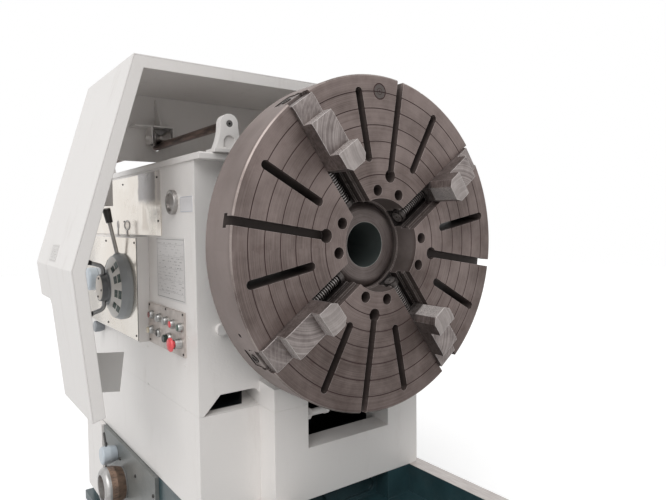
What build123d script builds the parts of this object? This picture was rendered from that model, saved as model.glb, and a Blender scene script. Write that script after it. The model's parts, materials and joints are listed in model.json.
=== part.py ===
from build123d import *
import math
import os

# Headstock end of a heavy engine lathe with a four-jaw faceplate, in millimetres.
# The origin lies on the floor, straight below the centre of the faceplate's front face.
# +X runs along the spindle towards the work, -Y is the operator's side and +Z is up.

# Heights: the lower base, the headstock's base, the spindle axis and the lid
base_top = 445
base_height = 305
centre_height = 500
top_rise = 253
lid_thick = 20
seam_height = base_top + base_height
axis_height = seam_height + centre_height
body_top = axis_height + top_rise
lid_top = body_top + lid_thick

# Headstock and its base, in plan
end_face = -278
tail_face = -1570
front_face = -472
back_face = 324
lid_overhang = 45
lid_side_overhang = 4
lid_chamfer = 4

# Bed head under the faceplate, its channel between the ways and the headstock's feet
head_reach = 93
head_end = end_face + head_reach
way_front = -272
channel_front = -150
channel_back = 184
channel_drop = 140
channel_slope = 12
channel_ledge = 70
channel_well = 60
channel_length = 420
foot_height = 78
foot_slope = 9
foot_bolt_radius = 12

# Dropped gap of the bed, with its chip pit
gap_end = 700
gap_front = -288
gap_back = 346
rail_width = 60
pit_depth = 100
pocket_depth = 65
plinth_height = 40
plinth_step = 30
joint_bolt_radius = 11
joint_bolt_spread = 480
joint_bolt_low = 140
joint_bolt_drop = 60
joint_bolt_depth = 60
core_high = 50
core_depth = 12
core_drop = 63
core_slots = [(88, 170), (-92, 110)]

# Drain notch and plug on the headstock's end face
notch_front = -457
notch_back = -271
notch_corner = 54
notch_height = 57
notch_round = 26
notch_depth = 130
notch_ledge = 30
plug_radius = 18
plug_reach = 14
plug_y = -397
plug_rise = 255

# Spindle
spindle_bore = 70
spindle_radius = 100
spindle_clearance = 0.05
flange_radius = 200
flange_thick = 60
nose_length = 66
nose_round = 28
nose_clearance = 0.1
cap_radius = 235
cap_thick = 40
spindle_tail = 30

# Faceplate
plate_radius = 500
plate_thick = 149
plate_hole = 140
plate_register = 135
rim_chamfer = 4
turn_angle = 8.95
slot_neck = 24
slot_head = 38
slot_neck_depth = 28
slot_head_depth = 20
slot_hole_at = 209.4
slot_hole_radius = 20
through_slot_width = 25
through_slot_in = 262
through_slot_inset = 48
through_slot_turn = 20
bolt_circle = 164
bolt_radius = 17
bolt_turn = 14.97
bolt_depth = 90
groove_insets = [48.5, 97, 145, 192.5, 241.5, 290]
groove_width = 2
groove_depth = 1.5
rim_width = 60
back_recess_depth = 25
hub_radius = 260
rim_hole_radius = 7
rim_hole_length = 30
rim_hole_depth = 60
rim_hole_turn = 243.3
notch_turn = 19.5
notch_half = 4
plug_inset = 47
plug_turn = -1
plug_disc = 22
plug_seam = 1
through_slot_out = plate_radius - through_slot_inset
groove_radii = [plate_radius - inset for inset in groove_insets]
back_recess_radius = plate_radius - rim_width
plug_at = plate_radius - plug_inset

# Jaws, their slots and their screws
jaw_half = 39
jaw_rise = [91, 51, 12]
jaw_reach = [60, 158, 216]
jaw_relief = 14
jaw_relief_drop = 3
jaw_nose_half = 24
jaw_nose_chamfer = 16
jaw_insets = [236, 244, 224, 227]
jaw_clearance = 0.4
rebate_depth = 22
rebate_side = 0.6
neck_half = 31
flank_half = 38
flank_top = 34
flank_bottom = 56
slot_depth = 88
tongue_start = 12
tongue_length = 170
screw_depth = 62
screw_radius = 18
screw_clearance = 0.5
screw_face = 143
disc_radius = 18.6
disc_thick = 4
neck_radius = 13
bearing_gap = 0.3
seat_radius = 22.5
seat_length = 13
screw_inset = 26
keeper_thick = 18
keeper_inset = 4
keeper_hole = 15
square_socket = 17
square_depth = 26
screw_journal = 14
jaw_noses = [plate_radius - inset for inset in jaw_insets]
screw_out = plate_radius - screw_inset

# Guard hood, its end wall and the rods that carry it
hood_front = -349
hood_length = 513
hood_over_plate = 48
corner_beside_plate = 111
elbow_beside_plate = 292
skirt_beside_plate = 250
elbow_drop = 54
skirt_rise = 25
far_corner_inset = 60
far_elbow_beside_plate = 60
far_elbow_rise = 250
far_skirt_drop = 100
sheet = 4
flange_width = 36
wall_inset = 12
skirt_inset = 162
skirt_gap_drop = 110
skirt_round = 30
wall_over_lid = 29
leg_gap = 29
leg_rise = 136
far_leg_gap = 21
wing_gap = 33
wing_low_gap = 48
wing_height = 103
hood_back = hood_front - hood_length
wall_face = hood_back + wall_inset
skirt_back = hood_back + skirt_inset
hood_top = axis_height + plate_radius + hood_over_plate
hood_corner_y = -plate_radius - corner_beside_plate
elbow_y = -plate_radius - elbow_beside_plate
skirt_y = -plate_radius - skirt_beside_plate
elbow_z = axis_height - elbow_drop
skirt_low = seam_height + skirt_rise
far_corner_y = plate_radius - far_corner_inset
far_elbow_y = plate_radius + far_elbow_beside_plate
far_elbow_z = axis_height + far_elbow_rise
far_skirt_low = axis_height - far_skirt_drop

# Guard rods, their brackets on the lid, and the rollers
rod_radius = 12.5
rod_rise = 85
rod_y = -378
far_rod_y = 250
rod_clearance = 0.1
rod_end_radius = 10
rod_end_length = 10
boss_radius = 28
boss_length = 30
bracket_setback = 2
tail_bracket_inset = 70
bracket_foot = 110
bracket_foot_length = 60
bracket_foot_thick = 10
bracket_leg_half = 47
pocket_half = 19
pocket_margin = 6
pocket_cut = 6
wall_rod_hole = 14.5
roller_setback = 44
roller_core = 14
roller_flat = 6
roller_flange = 30
roller_lip = 4
roller_width = 60
roller_axle = 7
roller_arm = 6
roller_arm_gap = 2
roller_side_gap = 12
roller_arm_drop = 22
roller_arm_rise = 8
roller_plate_reach = 64
roller_plate_side = 60
axle_left = 16
axle_right = 8
gusset_gap = 14
rod_z = lid_top + rod_rise
rod_tail = tail_face + tail_bracket_inset
bracket_front = end_face + lid_overhang - bracket_setback
roller_x = wall_face + roller_setback
axle_z = rod_z + rod_radius + roller_core + rod_clearance

# Gear-change cover with its dial, hub, lever and knobs
cover_right = -685
cover_left = -1400
cover_drop = 338
cover_rise = 26
cover_thick = 40
dial_x = -840
dial_drop = 155
dial_radius = 120
dial_rim = 39.5
dial_cone = 23
dial_round = 6
ring_radius = 111
ring_in_radius = 62
hub_outer = 48
hub_flare = 6
hub_depth = 25
hub_shaft = 16
hub_seat = 7.5
shaft_length = 80
dial_gap = 0.5
pin_clearance = 0.05
lug_at = 106
lug_radius = 18
lever_radius = 7
lever_lean = 11.5
lever_length = 128
grip_radius = 14
grip_waist = 11.5
grip_length = 52
handle_radius = 7.5
handle_back = 10
handle_out = 28
handle_bend = 22
handle_reach = 38
handle_rise = 13
handle_knob = 12
handle_knob_length = 22
cup_x = -1090
cup_drop = 144
cup_radius = 45
cup_length = 72
low_knob_inset = 105
low_knob_drop = 32
low_knob_radius = 24
low_knob_length = 40
pin_radius = 10
pin_length = 19
cover_low = axis_height - cover_drop
cover_high = axis_height + cover_rise
cover_face = front_face - cover_thick
low_knob_x = cover_left + low_knob_inset
low_knob_z = cover_low - low_knob_drop
dial_z = axis_height - dial_drop
dial_base = cover_face - dial_gap
rim_face = dial_base - dial_rim
ring_face = rim_face - dial_cone
hub_face = ring_face - hub_depth

# Polished panel, sight glass and button panel on the operator's face
panel_right = -550
panel_gap = 6
panel_top_gap = 9
panel_thick = 3
panel_left = cover_left
glass_x = -440
glass_rise = 137
glass_radius = 38
glass_rim = 9
glass_reach = 12
glass_recess = 5
button_right = -363
button_left = -683
button_drop = 337
button_top_drop = 200
button_thick = 6
bezel_radius = 15
bezel_reach = 20
bezel_chamfer = 3
lamp_row = [-643, -571, -508, -449, -385]
lamp_inset = 38
lamp_fall = 2
low_lamp_row = [-645, -582]
low_lamp_inset = 90
stop_x = -392
stop_inset = 96
stop_radius = 22
stop_collar = 22
stop_thick = 12
stop_travel = 6
push_x = -482
push_inset = 93
push_radius = 13
push_collar = 12
push_thick = 8
push_travel = 4
press_gap = 1
stem_radius = 11
stem_inset = 8
stem_clearance = 0.1
button_low = axis_height - button_drop
button_high = axis_height - button_top_drop
button_face = front_face - button_thick

# Feed box and end cover on the pedestal's front, with knob and drum
feed_left = -1290
feed_right = -640
feed_thick = 14
feed_clear = 50
top_gap = 2
feed_knob_x = -1110
feed_knob_drop = 66
feed_knob_radius = 36
feed_knob_length = 60
drum_x = -1015
drum_drop = 155
drum_radius = 74
drum_length = 85
drum_mouth = 50
tail_cover_gap = 16
tail_cover_inset = 10
tail_cover_thick = 20
feed_face = front_face - feed_thick
feed_low = plinth_height + feed_clear
feed_high = base_top - top_gap

os.makedirs("parts", exist_ok=True)
pieces = {}


def block(x, y, z):
    """Box between two corners, given as (low, high) pairs."""
    size = Box(x[1] - x[0], y[1] - y[0], z[1] - z[0])
    return Pos((x[0] + x[1]) / 2, (y[0] + y[1]) / 2, (z[0] + z[1]) / 2) * size


def rod_x(radius, low, high, y=0, z=0):
    """Round bar along X."""
    bar = Rot(0, 90, 0) * Cylinder(radius, high - low)
    return Pos((low + high) / 2, y, z) * bar


def rod_y_bar(radius, low, high, x=0, z=0):
    """Round bar along Y."""
    bar = Rot(90, 0, 0) * Cylinder(radius, high - low)
    return Pos(x, (low + high) / 2, z) * bar


def bar_up(radius, low, high):
    """Round bar along Z in the depth of the jaw screws, drawn for the jaw slot at twelve o'clock."""
    return Pos(-screw_depth, 0, (low + high) / 2) * Cylinder(radius, high - low)


def prism_x(points, low, high):
    """Straight-sided prism along X over (y, z) points."""
    face = make_face(Polyline(*[(0, y, z) for y, z in points], close=True))
    return Pos(low, 0, 0) * extrude(face, amount=high - low, dir=(1, 0, 0))


def prism_y(points, low, high):
    """Straight-sided prism along Y over (x, z) points."""
    face = make_face(Polyline(*[(x, 0, z) for x, z in points], close=True))
    return Pos(0, low, 0) * extrude(face, amount=high - low, dir=(0, 1, 0))


def turned_y(profile, x, z):
    """Solid turned about an axis along Y, over (radius, y) points."""
    face = make_face(Polyline(*[(r, 0, -y) for r, y in profile], close=True))
    return Pos(x, 0, z) * Rot(90, 0, 0) * revolve(face, Axis.Z)


def spoke(angle):
    """Placing that turns +Z of a faceplate feature outwards at a clock angle seen from +X."""
    return Pos(0, 0, axis_height) * Rot(-angle, 0, 0)


# Lower base: a pedestal under the headstock and the dropped gap of the bed
def pedestal():
    body = block((tail_face, end_face), (front_face, back_face), (plinth_height, base_top))
    plinth = block((tail_face - plinth_step, end_face), (front_face - plinth_step, back_face + plinth_step),
                   (0, plinth_height))
    return body + plinth


def gap_bed():
    body = block((end_face, gap_end), (gap_front, gap_back), (plinth_height, base_top))
    plinth = block((end_face, gap_end), (gap_front - plinth_step, gap_back + plinth_step),
                   (0, plinth_height))
    floor = base_top - pit_depth
    pit = block((head_end, gap_end - rail_width), (gap_front + rail_width, gap_back - rail_width),
                (floor, base_top + 1))
    pocket_back = head_end - pocket_depth
    pocket = block((pocket_back, head_end + 1), (channel_front, channel_back), (floor, base_top + 1))
    shape = body + plinth - pit - pocket
    for y, length in core_slots:
        core = Plane.YZ.offset(pocket_back) * Pos(y, base_top - core_drop, 0)
        shape -= extrude(core * SlotOverall(length, core_high), amount=-core_depth)
    middle = (gap_front + gap_back) / 2
    for y in (middle - joint_bolt_spread / 2, middle + joint_bolt_spread / 2):
        for z in (joint_bolt_low, base_top - joint_bolt_drop):
            shape -= rod_x(joint_bolt_radius, gap_end - joint_bolt_depth, gap_end + 1, y, z)
    return shape


def headstock_base():
    body = block((tail_face, end_face), (front_face, back_face), (base_top, seam_height))
    return body - channel_cut()


def channel_cut():
    """Open channel between the ways: a sloped lip, then a well that runs back under the spindle."""
    lip = seam_height - channel_drop
    inner = head_end - channel_length
    edge = head_end - channel_ledge
    points = [(head_end + 1, lip), (edge, lip + channel_slope), (edge, lip - channel_well),
              (inner, lip - channel_well), (inner, seam_height + 1), (head_end + 1, seam_height + 1)]
    return prism_y(points, channel_front, channel_back)


def bed_head():
    body = block((end_face, head_end), (way_front, back_face), (base_top, seam_height))
    return body - channel_cut()


# Headstock casting with its lid
def drain_notch():
    """Arched outlet at the foot of the end face, with a ledge that falls outwards."""
    top = seam_height + notch_height
    arch = [(notch_front, seam_height), (notch_front + notch_corner, top), (notch_back, top),
            (notch_back, seam_height)]
    notch = prism_x(arch, end_face - notch_depth, end_face + 1)
    corner = notch.edges().filter_by(Axis.X).sort_by(Axis.Y)[-2:].sort_by(Axis.Z)[-1]
    notch = fillet(corner, notch_round)
    ledge = prism_y([(end_face - notch_depth, seam_height), (end_face, seam_height),
                     (end_face - notch_depth, seam_height + notch_ledge)], notch_front, notch_back)
    return notch - ledge


def headstock_body():
    body = block((tail_face, end_face), (front_face, back_face), (seam_height, body_top))
    bore = rod_x(spindle_radius + spindle_clearance, tail_face - 1, end_face + 1, 0, axis_height)
    plug = rod_x(plug_radius, end_face, end_face + plug_reach, plug_y, seam_height + plug_rise)
    pin = knob_pin(low_knob_x, low_knob_z, front_face)
    return body - drain_notch() - bore + plug + pin


def headstock_foot(low, high):
    top = seam_height + foot_height
    points = [(end_face, seam_height), (head_end, seam_height), (head_end, top - foot_slope),
              (end_face, top)]
    foot = prism_y(points, low, high)
    bolt = Pos((end_face + head_end) / 2, (low + high) / 2, top) * Cylinder(foot_bolt_radius, foot_slope)
    return foot + bolt


def headstock_lid():
    body = block((tail_face, end_face + lid_overhang), (front_face - lid_side_overhang,
                 back_face + lid_side_overhang), (body_top, lid_top))
    return chamfer(body.edges().group_by(Axis.Z)[-1], lid_chamfer)


# Spindle
def bearing_cap():
    cap = rod_x(cap_radius, end_face, end_face + cap_thick, 0, axis_height)
    bore = spindle_radius + spindle_clearance
    return cap - rod_x(bore, end_face - 1, end_face + cap_thick + 1, 0, axis_height)


def spindle():
    nose = rod_x(plate_register - nose_clearance, -plate_thick, nose_length - plate_thick, 0, axis_height)
    nose = fillet(nose.edges().filter_by(GeomType.CIRCLE).sort_by(Axis.X)[-1], nose_round)
    tube = rod_x(spindle_radius, tail_face - spindle_tail, -plate_thick, 0, axis_height)
    tube += rod_x(flange_radius, -plate_thick - flange_thick, -plate_thick, 0, axis_height)
    tube += nose
    return tube - rod_x(spindle_bore, tail_face - spindle_tail - 1, 1, 0, axis_height)


# Faceplate with four T-slots, eight through slots, four jaw slots, grooves and bolt holes
def plate_blank():
    register_end = nose_length - plate_thick
    disc = rod_x(plate_radius, -plate_thick, 0, 0, 0)
    disc = chamfer(disc.edges().filter_by(GeomType.CIRCLE), rim_chamfer)
    disc -= rod_x(plate_register, -plate_thick - 1, register_end, 0, 0)
    disc -= rod_x(plate_hole, register_end, 1, 0, 0)
    ring = rod_x(back_recess_radius, -plate_thick - 1, -plate_thick + back_recess_depth, 0, 0)
    disc -= ring - rod_x(hub_radius, -plate_thick - 1, -plate_thick + back_recess_depth, 0, 0)
    for radius in groove_radii:
        cut = rod_x(radius + groove_width / 2, -groove_depth, 1, 0, 0)
        disc -= cut - rod_x(radius - groove_width / 2, -groove_depth, 1, 0, 0)
    return disc - rim_marks()


def rim_marks():
    """Pin hole and datum notch in the rim, and the seam round a flush plug in the face."""
    hole = Pos(-rim_hole_depth, 0, plate_radius) * Cylinder(rim_hole_radius, 2 * rim_hole_length)
    notch = block((-2 * notch_half, 1), (-notch_half, notch_half),
                  (plate_radius - notch_half, plate_radius + 1))
    seam = rod_x(plug_disc, -plug_seam, 1, 0, plug_at)
    seam -= rod_x(plug_disc - plug_seam, -plug_seam, 1, 0, plug_at)
    return Rot(-rim_hole_turn, 0, 0) * hole + Rot(-notch_turn, 0, 0) * notch + Rot(-plug_turn, 0, 0) * seam


def t_slot():
    reach = plate_radius + 1
    neck = block((-slot_neck_depth, 1), (-slot_neck / 2, slot_neck / 2), (slot_hole_at, reach))
    head_low = -slot_neck_depth - slot_head_depth
    head = block((head_low, -slot_neck_depth), (-slot_head / 2, slot_head / 2), (slot_hole_at, reach))
    hole = rod_x(slot_hole_radius, head_low, 1, 0, slot_hole_at)
    return neck + head + hole


def through_slot():
    half = through_slot_width / 2
    cut = block((-plate_thick - 1, 1), (-half, half), (through_slot_in, through_slot_out))
    cut += rod_x(half, -plate_thick - 1, 1, 0, through_slot_in)
    return cut + rod_x(half, -plate_thick - 1, 1, 0, through_slot_out)


def jaw_slot():
    reach = plate_radius + 1
    start = plate_register - nose_round
    rebate_half = jaw_half + rebate_side
    cut = block((-rebate_depth, 1), (-rebate_half, rebate_half), (start, reach))
    cut += block((-slot_depth, 0), (-neck_half, neck_half), (start, reach))
    cut += block((-flank_bottom, -flank_top), (-flank_half, flank_half), (start, reach))
    return cut & rod_x(reach, -slot_depth, 1, 0, 0)


def faceplate():
    disc = plate_blank()
    for quarter in range(4):
        disc -= Rot(-(turn_angle + 90 * quarter), 0, 0) * t_slot()
        disc -= Rot(-(turn_angle + 45 + 90 * quarter), 0, 0) * jaw_slot()
        for side in (-1, 1):
            disc -= Rot(-(turn_angle + 90 * quarter + side * through_slot_turn), 0, 0) * through_slot()
            turn = turn_angle + 90 * quarter + side * bolt_turn
            disc -= Rot(-turn, 0, 0) * rod_x(bolt_radius, -bolt_depth, 1, 0, bolt_circle)
    return Pos(0, 0, axis_height) * disc


# Jaws, each on its own screw
def jaw_step(inner, outer, rise, face):
    """One step of a jaw, whose working face falls a little towards its outer end."""
    start = outer - jaw_relief
    points = [(face, inner), (rise, inner), (rise, start), (rise - jaw_relief_drop, outer), (face, outer)]
    return prism_y(points, -jaw_half, jaw_half)


def jaw(nose):
    face = jaw_clearance - rebate_depth
    inner = nose
    body = None
    for rise, reach in zip(jaw_rise, jaw_reach):
        step = jaw_step(inner, nose + reach, rise, face)
        body = step if body is None else body + step
        inner = nose + reach
    slant = nose + jaw_nose_chamfer
    for side in (-1, 1):
        points = [(side * jaw_nose_half, nose - 1), (side * (jaw_half + 1), nose - 1),
                  (side * (jaw_half + 1), slant), (side * jaw_half, slant), (side * jaw_nose_half, nose)]
        body -= prism_x(points, face - 1, jaw_rise[0] + 1)
    tongue = (nose + tongue_start, nose + tongue_start + tongue_length)
    neck = neck_half - jaw_clearance
    body += block((-flank_bottom + jaw_clearance, face), (-neck, neck), tongue)
    flank = flank_half - jaw_clearance
    body += block((-flank_bottom + jaw_clearance, -flank_top - jaw_clearance), (-flank, flank), tongue)
    return body - bar_up(screw_radius + screw_clearance, nose, nose + 2 * tongue_length)


def jaw_screw():
    """Screw with a thrust disc, a neck in its seat, a threaded length and a journal with a square socket."""
    disc_end = screw_face + disc_thick
    thread_in = disc_end + seat_length + 2 * bearing_gap
    journal_out = plate_radius - 1
    screw = bar_up(disc_radius, screw_face, disc_end) + bar_up(neck_radius, disc_end, thread_in)
    screw += bar_up(screw_radius, thread_in, screw_out) + bar_up(screw_journal, screw_out, journal_out)
    socket = Pos(-screw_depth, 0, journal_out - square_depth / 2) * Box(square_socket, square_socket,
                                                                        square_depth + 1)
    return screw - socket


def screw_seat():
    """Inner thrust bearing, a round cap on a saddle in the slot's floor."""
    low = screw_face + disc_thick + bearing_gap
    high = low + seat_length
    saddle = block((-slot_depth, -screw_depth), (-seat_radius, seat_radius), (low, high))
    return bar_up(seat_radius, low, high) + saddle - bar_up(neck_radius + rod_clearance, low - 1, high + 1)


def screw_keeper():
    """Plate that closes the jaw slot at the rim and guides the screw's end."""
    high = plate_radius - keeper_inset
    low = high - keeper_thick
    plate = block((-slot_depth, -flank_top), (-neck_half, neck_half), (low, high))
    return plate - bar_up(keeper_hole, low - 1, high + 1)


# Guard hood: bent sheet with a front flange, an end wall and a roller bracket
def hood_area(inset):
    """Area of the hood's cross-section, drawn in by a distance on its upper five sides."""
    points = [(skirt_y, skirt_low), (elbow_y, elbow_z), (hood_corner_y, hood_top),
              (far_corner_y, hood_top), (far_elbow_y, far_elbow_z), (far_elbow_y, far_skirt_low)]
    area = make_face(Polyline(*[(0, y, z) for y, z in points], close=True))
    if inset == 0:
        return area
    lines = [Line((0, *low), (0, *high)) for low, high in zip(points[:-1], points[1:])]
    band = [trace_band(line, inset) for line in lines]
    return area - band


def trace_band(line, width):
    """Strip of a width on both sides of a straight edge, run on past its ends."""
    start = line @ 0
    end = line @ 1
    along = (end - start).normalized() * width
    across = along.cross(Vector(1, 0, 0))
    corners = [start - along + across, end + along + across, end + along - across, start - along - across]
    return make_face(Polyline(*corners, close=True))


def along_x(area, low, high):
    """Prism along X over an area drawn in the plane x = 0."""
    return Pos(low, 0, 0) * extrude(area, amount=high - low, dir=(1, 0, 0))


def hood_shell():
    skin = hood_area(0) - hood_area(sheet)
    shell = along_x(skin, hood_back, hood_front)
    relief = block((hood_back - 1, skirt_back), (elbow_y - 1, front_face),
                   (skirt_low - 1, elbow_z - skirt_gap_drop))
    corner = relief.edges().filter_by(Axis.Y).group_by(Axis.X)[-1].sort_by(Axis.Z)[-1]
    return shell - fillet(corner, skirt_round)


def hood_flange():
    rim = hood_area(sheet) - hood_area(flange_width)
    return along_x(rim, hood_front - sheet, hood_front)


def hood_end_wall():
    """Wall across the hood's back, open below for the headstock and the gear cover."""
    leg_y = cover_face - leg_gap
    far_leg_y = back_face + far_leg_gap
    reach = block((hood_back, hood_front), (elbow_y, leg_y), (axis_height + leg_rise, hood_top))
    reach += block((hood_back, hood_front), (leg_y, far_leg_y), (lid_top + wall_over_lid, hood_top))
    reach += block((hood_back, hood_front), (far_leg_y, far_elbow_y), (far_skirt_low, hood_top))
    wall = along_x(hood_area(sheet), wall_face - sheet, wall_face) & reach
    for y in (rod_y, far_rod_y):
        wall -= rod_x(wall_rod_hole, wall_face - sheet - 1, wall_face + 1, y, rod_z)
    return wall + hood_wing()


def hood_wing():
    """Stiffening sheet across the lower side panel's back edge."""
    top = skirt_low + wing_height
    inner = cover_face - wing_gap
    low_inner = cover_face - wing_low_gap
    points = [(elbow_y, top), (inner, top), (low_inner, skirt_low), (elbow_y, skirt_low)]
    wing = prism_x(points, skirt_back, skirt_back + sheet)
    return wing & along_x(hood_area(sheet), skirt_back, skirt_back + sheet)


def roller_bracket(y):
    """Plate and two arms on the end wall, with the roller's axle and a gusset above."""
    left = y - roller_width / 2 - roller_arm_gap
    right = y + roller_width / 2 + roller_side_gap
    low = axle_z - roller_arm_drop
    high = axle_z + roller_flange + roller_arm_rise
    front = wall_face + roller_plate_reach
    shape = block((wall_face, front), (left - roller_arm - roller_plate_side, right + roller_arm),
                  (high, high + roller_arm))
    shape += block((wall_face, front), (left - roller_arm, left), (low, high))
    shape += block((wall_face, front), (right, right + roller_arm), (low, high))
    shape += rod_y_bar(roller_axle, left - roller_arm - axle_left, right + roller_arm + axle_right,
                       roller_x, axle_z)
    gusset = prism_y([(wall_face, high + roller_arm), (front, high + roller_arm),
                      (wall_face, hood_top - gusset_gap)], y - roller_arm / 2, y + roller_arm / 2)
    return shape + gusset


def roller(y):
    """Spool that rides on the rod."""
    bore = roller_axle + pin_clearance
    half = roller_width / 2
    profile = [(bore, y - half), (roller_flange, y - half), (roller_flange, y - half + roller_lip),
               (roller_core, y - roller_flat), (roller_core, y + roller_flat),
               (roller_flange, y + half - roller_lip), (roller_flange, y + half), (bore, y + half)]
    return turned_y(profile, roller_x, axle_z)


def guard_rod(y):
    """Rod whose front end is turned down to pass through the bracket's boss."""
    shoulder = bracket_front - rod_end_length
    rod = rod_x(rod_radius, rod_tail - boss_length, shoulder, y, rod_z)
    return rod + rod_x(rod_end_radius, shoulder, bracket_front, y, rod_z)


def bracket_side(y, side, low, high):
    """Hollow flank from the foot up to the boss."""
    start = (0, y + side * bracket_leg_half, low)
    end = (0, y + side * boss_radius, high)
    middle = (0, y + side * (3 * boss_radius + bracket_leg_half) / 4, (low + high) / 2)
    return ThreePointArc(start, middle, end)


def rod_bracket(front, y, end_radius, end_length):
    """Upright with a round boss and an arched pocket, bolted on the lid."""
    foot_top = lid_top + bracket_foot_thick
    back = front - boss_length
    left = bracket_side(y, -1, foot_top, rod_z)
    right = bracket_side(y, 1, foot_top, rod_z)
    outline = [left, Line(left @ 1, right @ 1), right, Line(right @ 0, left @ 0)]
    leg = along_x(make_face(outline), back, front)
    mid = (back + front) / 2
    foot = block((mid - bracket_foot_length / 2, mid + bracket_foot_length / 2),
                 (y - bracket_foot / 2, y + bracket_foot / 2), (lid_top, foot_top))
    crown = rod_z - boss_radius - pocket_margin - pocket_half
    pocket = block((front - pocket_cut, front + 1), (y - pocket_half, y + pocket_half),
                   (foot_top + pocket_margin, crown))
    pocket += rod_x(pocket_half, front - pocket_cut, front + 1, y, crown)
    shape = rod_x(boss_radius, back, front, y, rod_z) + leg + foot - pocket
    shoulder = front - end_length
    shape -= rod_x(rod_radius + rod_clearance, back - 1, shoulder, y, rod_z)
    return shape - rod_x(end_radius + rod_clearance, shoulder - 1, front + 1, y, rod_z)


# Operator's face: gear-change cover, dial, hub, levers and panels
def gear_cover():
    body = block((cover_left, cover_right), (cover_face, front_face), (cover_low, cover_high))
    shaft = rod_y_bar(hub_shaft, cover_face - shaft_length, cover_face, dial_x, dial_z)
    return body + shaft + knob_pin(cup_x, axis_height - cup_drop, cover_face)


def dial_ring():
    """Outer dial: a round rim with a lug, a conical face and a bore that turns on the hub's shaft."""
    bore = hub_shaft + pin_clearance
    shoulder = dial_base - dial_rim / 2
    profile = [(bore, dial_base), (dial_radius, dial_base), (dial_radius, shoulder), (ring_radius, rim_face),
               (ring_in_radius, ring_face), (bore, ring_face)]
    ring = turned_y(profile, dial_x, dial_z)
    rim = ring.edges().filter_by(GeomType.CIRCLE).sort_by(SortBy.RADIUS)[-2:]
    ring = fillet(rim, dial_round)
    return ring + Pos(dial_x, dial_base - dial_rim / 2, dial_z + lug_at) * Sphere(lug_radius)


def dial_lever():
    """Straight lever that stands in the dial's lug and leans out towards the operator."""
    bar = Pos(0, 0, lever_length / 2) * Cylinder(lever_radius, lever_length)
    grip = Pos(0, 0, lever_length + grip_length / 2) * Cone(grip_waist, grip_radius, grip_length)
    seat = Pos(dial_x, dial_base - dial_rim / 2, dial_z + lug_at)
    return seat * Rot(lever_lean, 0, 0) * (bar + grip) - dial_ring()


def hub():
    bore = hub_shaft + pin_clearance
    base = ring_face - dial_gap
    profile = [(bore, base), (hub_outer + hub_flare, base), (hub_outer, base - hub_flare),
               (hub_outer, hub_face), (0, hub_face), (0, hub_face + hub_seat), (bore, hub_face + hub_seat)]
    return turned_y(profile, dial_x, dial_z)


def hub_handle(side):
    """Curved handle with a tapered knob: out of the hub's side, then towards the operator."""
    root = ring_face - handle_back
    start = (0, root, side * (hub_outer - 1))
    bend = (0, root, side * (hub_outer + handle_out))
    end = (0, root - handle_reach, side * (hub_outer + handle_out + handle_rise))
    path = FilletPolyline(start, bend, end, radius=handle_bend)
    section = Plane(origin=start, z_dir=(0, 0, side)) * Circle(handle_radius)
    tilt = math.degrees(math.atan2(handle_reach, side * handle_rise))
    knob = Pos(0, 0, handle_knob_length / 2) * Cone(handle_radius, handle_knob, handle_knob_length)
    handle = sweep(section, path=path) + Pos(*end) * Rot(tilt, 0, 0) * knob
    return Pos(dial_x, 0, dial_z) * handle - hub()


def turned_knob(x, z, radius, length, face_y, mouth=0):
    """Knob with a rounded front on a short pin, turned about an axis that points at the operator."""
    base = face_y - dial_gap
    front = base - length
    profile = [(0, base), (radius * 0.82, base), (radius, base - length * 0.45), (radius, front), (0, front)]
    if mouth:
        floor = base - length * 0.4
        profile[-1:] = [(mouth, front), (mouth, floor), (0, floor)]
    knob = turned_y(profile, x, z)
    outer = knob.edges().filter_by(GeomType.CIRCLE).group_by(Axis.Y)[0].sort_by(SortBy.RADIUS)[-1]
    knob = fillet(outer, radius / 4)
    return knob - rod_y_bar(pin_radius + pin_clearance, base - pin_length - 1, base + 1, x, z)


def knob_pin(x, z, face_y):
    return rod_y_bar(pin_radius, face_y - pin_length, face_y, x, z)


def front_panel():
    return block((panel_left, panel_right), (front_face - panel_thick, front_face),
                 (cover_high + panel_gap, body_top - panel_top_gap))


def sight_glass():
    face = front_face - glass_reach
    z = axis_height + glass_rise
    ring = rod_y_bar(glass_radius, face, front_face, glass_x, z)
    return ring - rod_y_bar(glass_radius - glass_rim, face - 1, face + glass_recess, glass_x, z)


def button_panel():
    plate = block((button_left, button_right), (button_face, front_face), (button_low, button_high))
    for x, inset, collar in ((stop_x, stop_inset, stop_collar), (push_x, push_inset, push_collar)):
        z = button_high - inset
        plate += rod_y_bar(bezel_radius, button_face - collar, front_face, x, z)
        plate -= rod_y_bar(stem_radius + stem_clearance, button_face - collar - 1, front_face + 1, x, z)
    return plate


def press_button(x, inset, head, collar, thick, travel):
    z = button_high - inset
    back = button_face - collar - travel - press_gap
    stem = rod_y_bar(stem_radius, back, front_face - stem_inset, x, z)
    cap = rod_y_bar(head, back - thick, back, x, z)
    return stem + chamfer(cap.edges().filter_by(GeomType.CIRCLE), bezel_chamfer)


def pilot_lights():
    places = [(x, button_high - lamp_inset - lamp_fall * turn) for turn, x in enumerate(lamp_row)]
    places += [(x, button_high - low_lamp_inset - lamp_fall * turn) for turn, x in enumerate(low_lamp_row)]
    shapes = []
    for x, z in places:
        lamp = rod_y_bar(bezel_radius, button_face - bezel_reach, button_face, x, z)
        shapes.append(chamfer(lamp.faces().sort_by(Axis.Y)[0].edges(), bezel_chamfer))
    return Compound(children=shapes)


# Feed box and end cover on the pedestal's front
def feed_box():
    plate = block((feed_left, feed_right), (feed_face, front_face), (feed_low, feed_high))
    for x, drop in ((feed_knob_x, feed_knob_drop), (drum_x, drum_drop)):
        plate += knob_pin(x, base_top - drop, feed_face)
    return plate


def tail_cover():
    return block((tail_face + tail_cover_inset, feed_left - tail_cover_gap),
                 (front_face - tail_cover_thick, front_face), (feed_low, feed_high))


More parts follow.
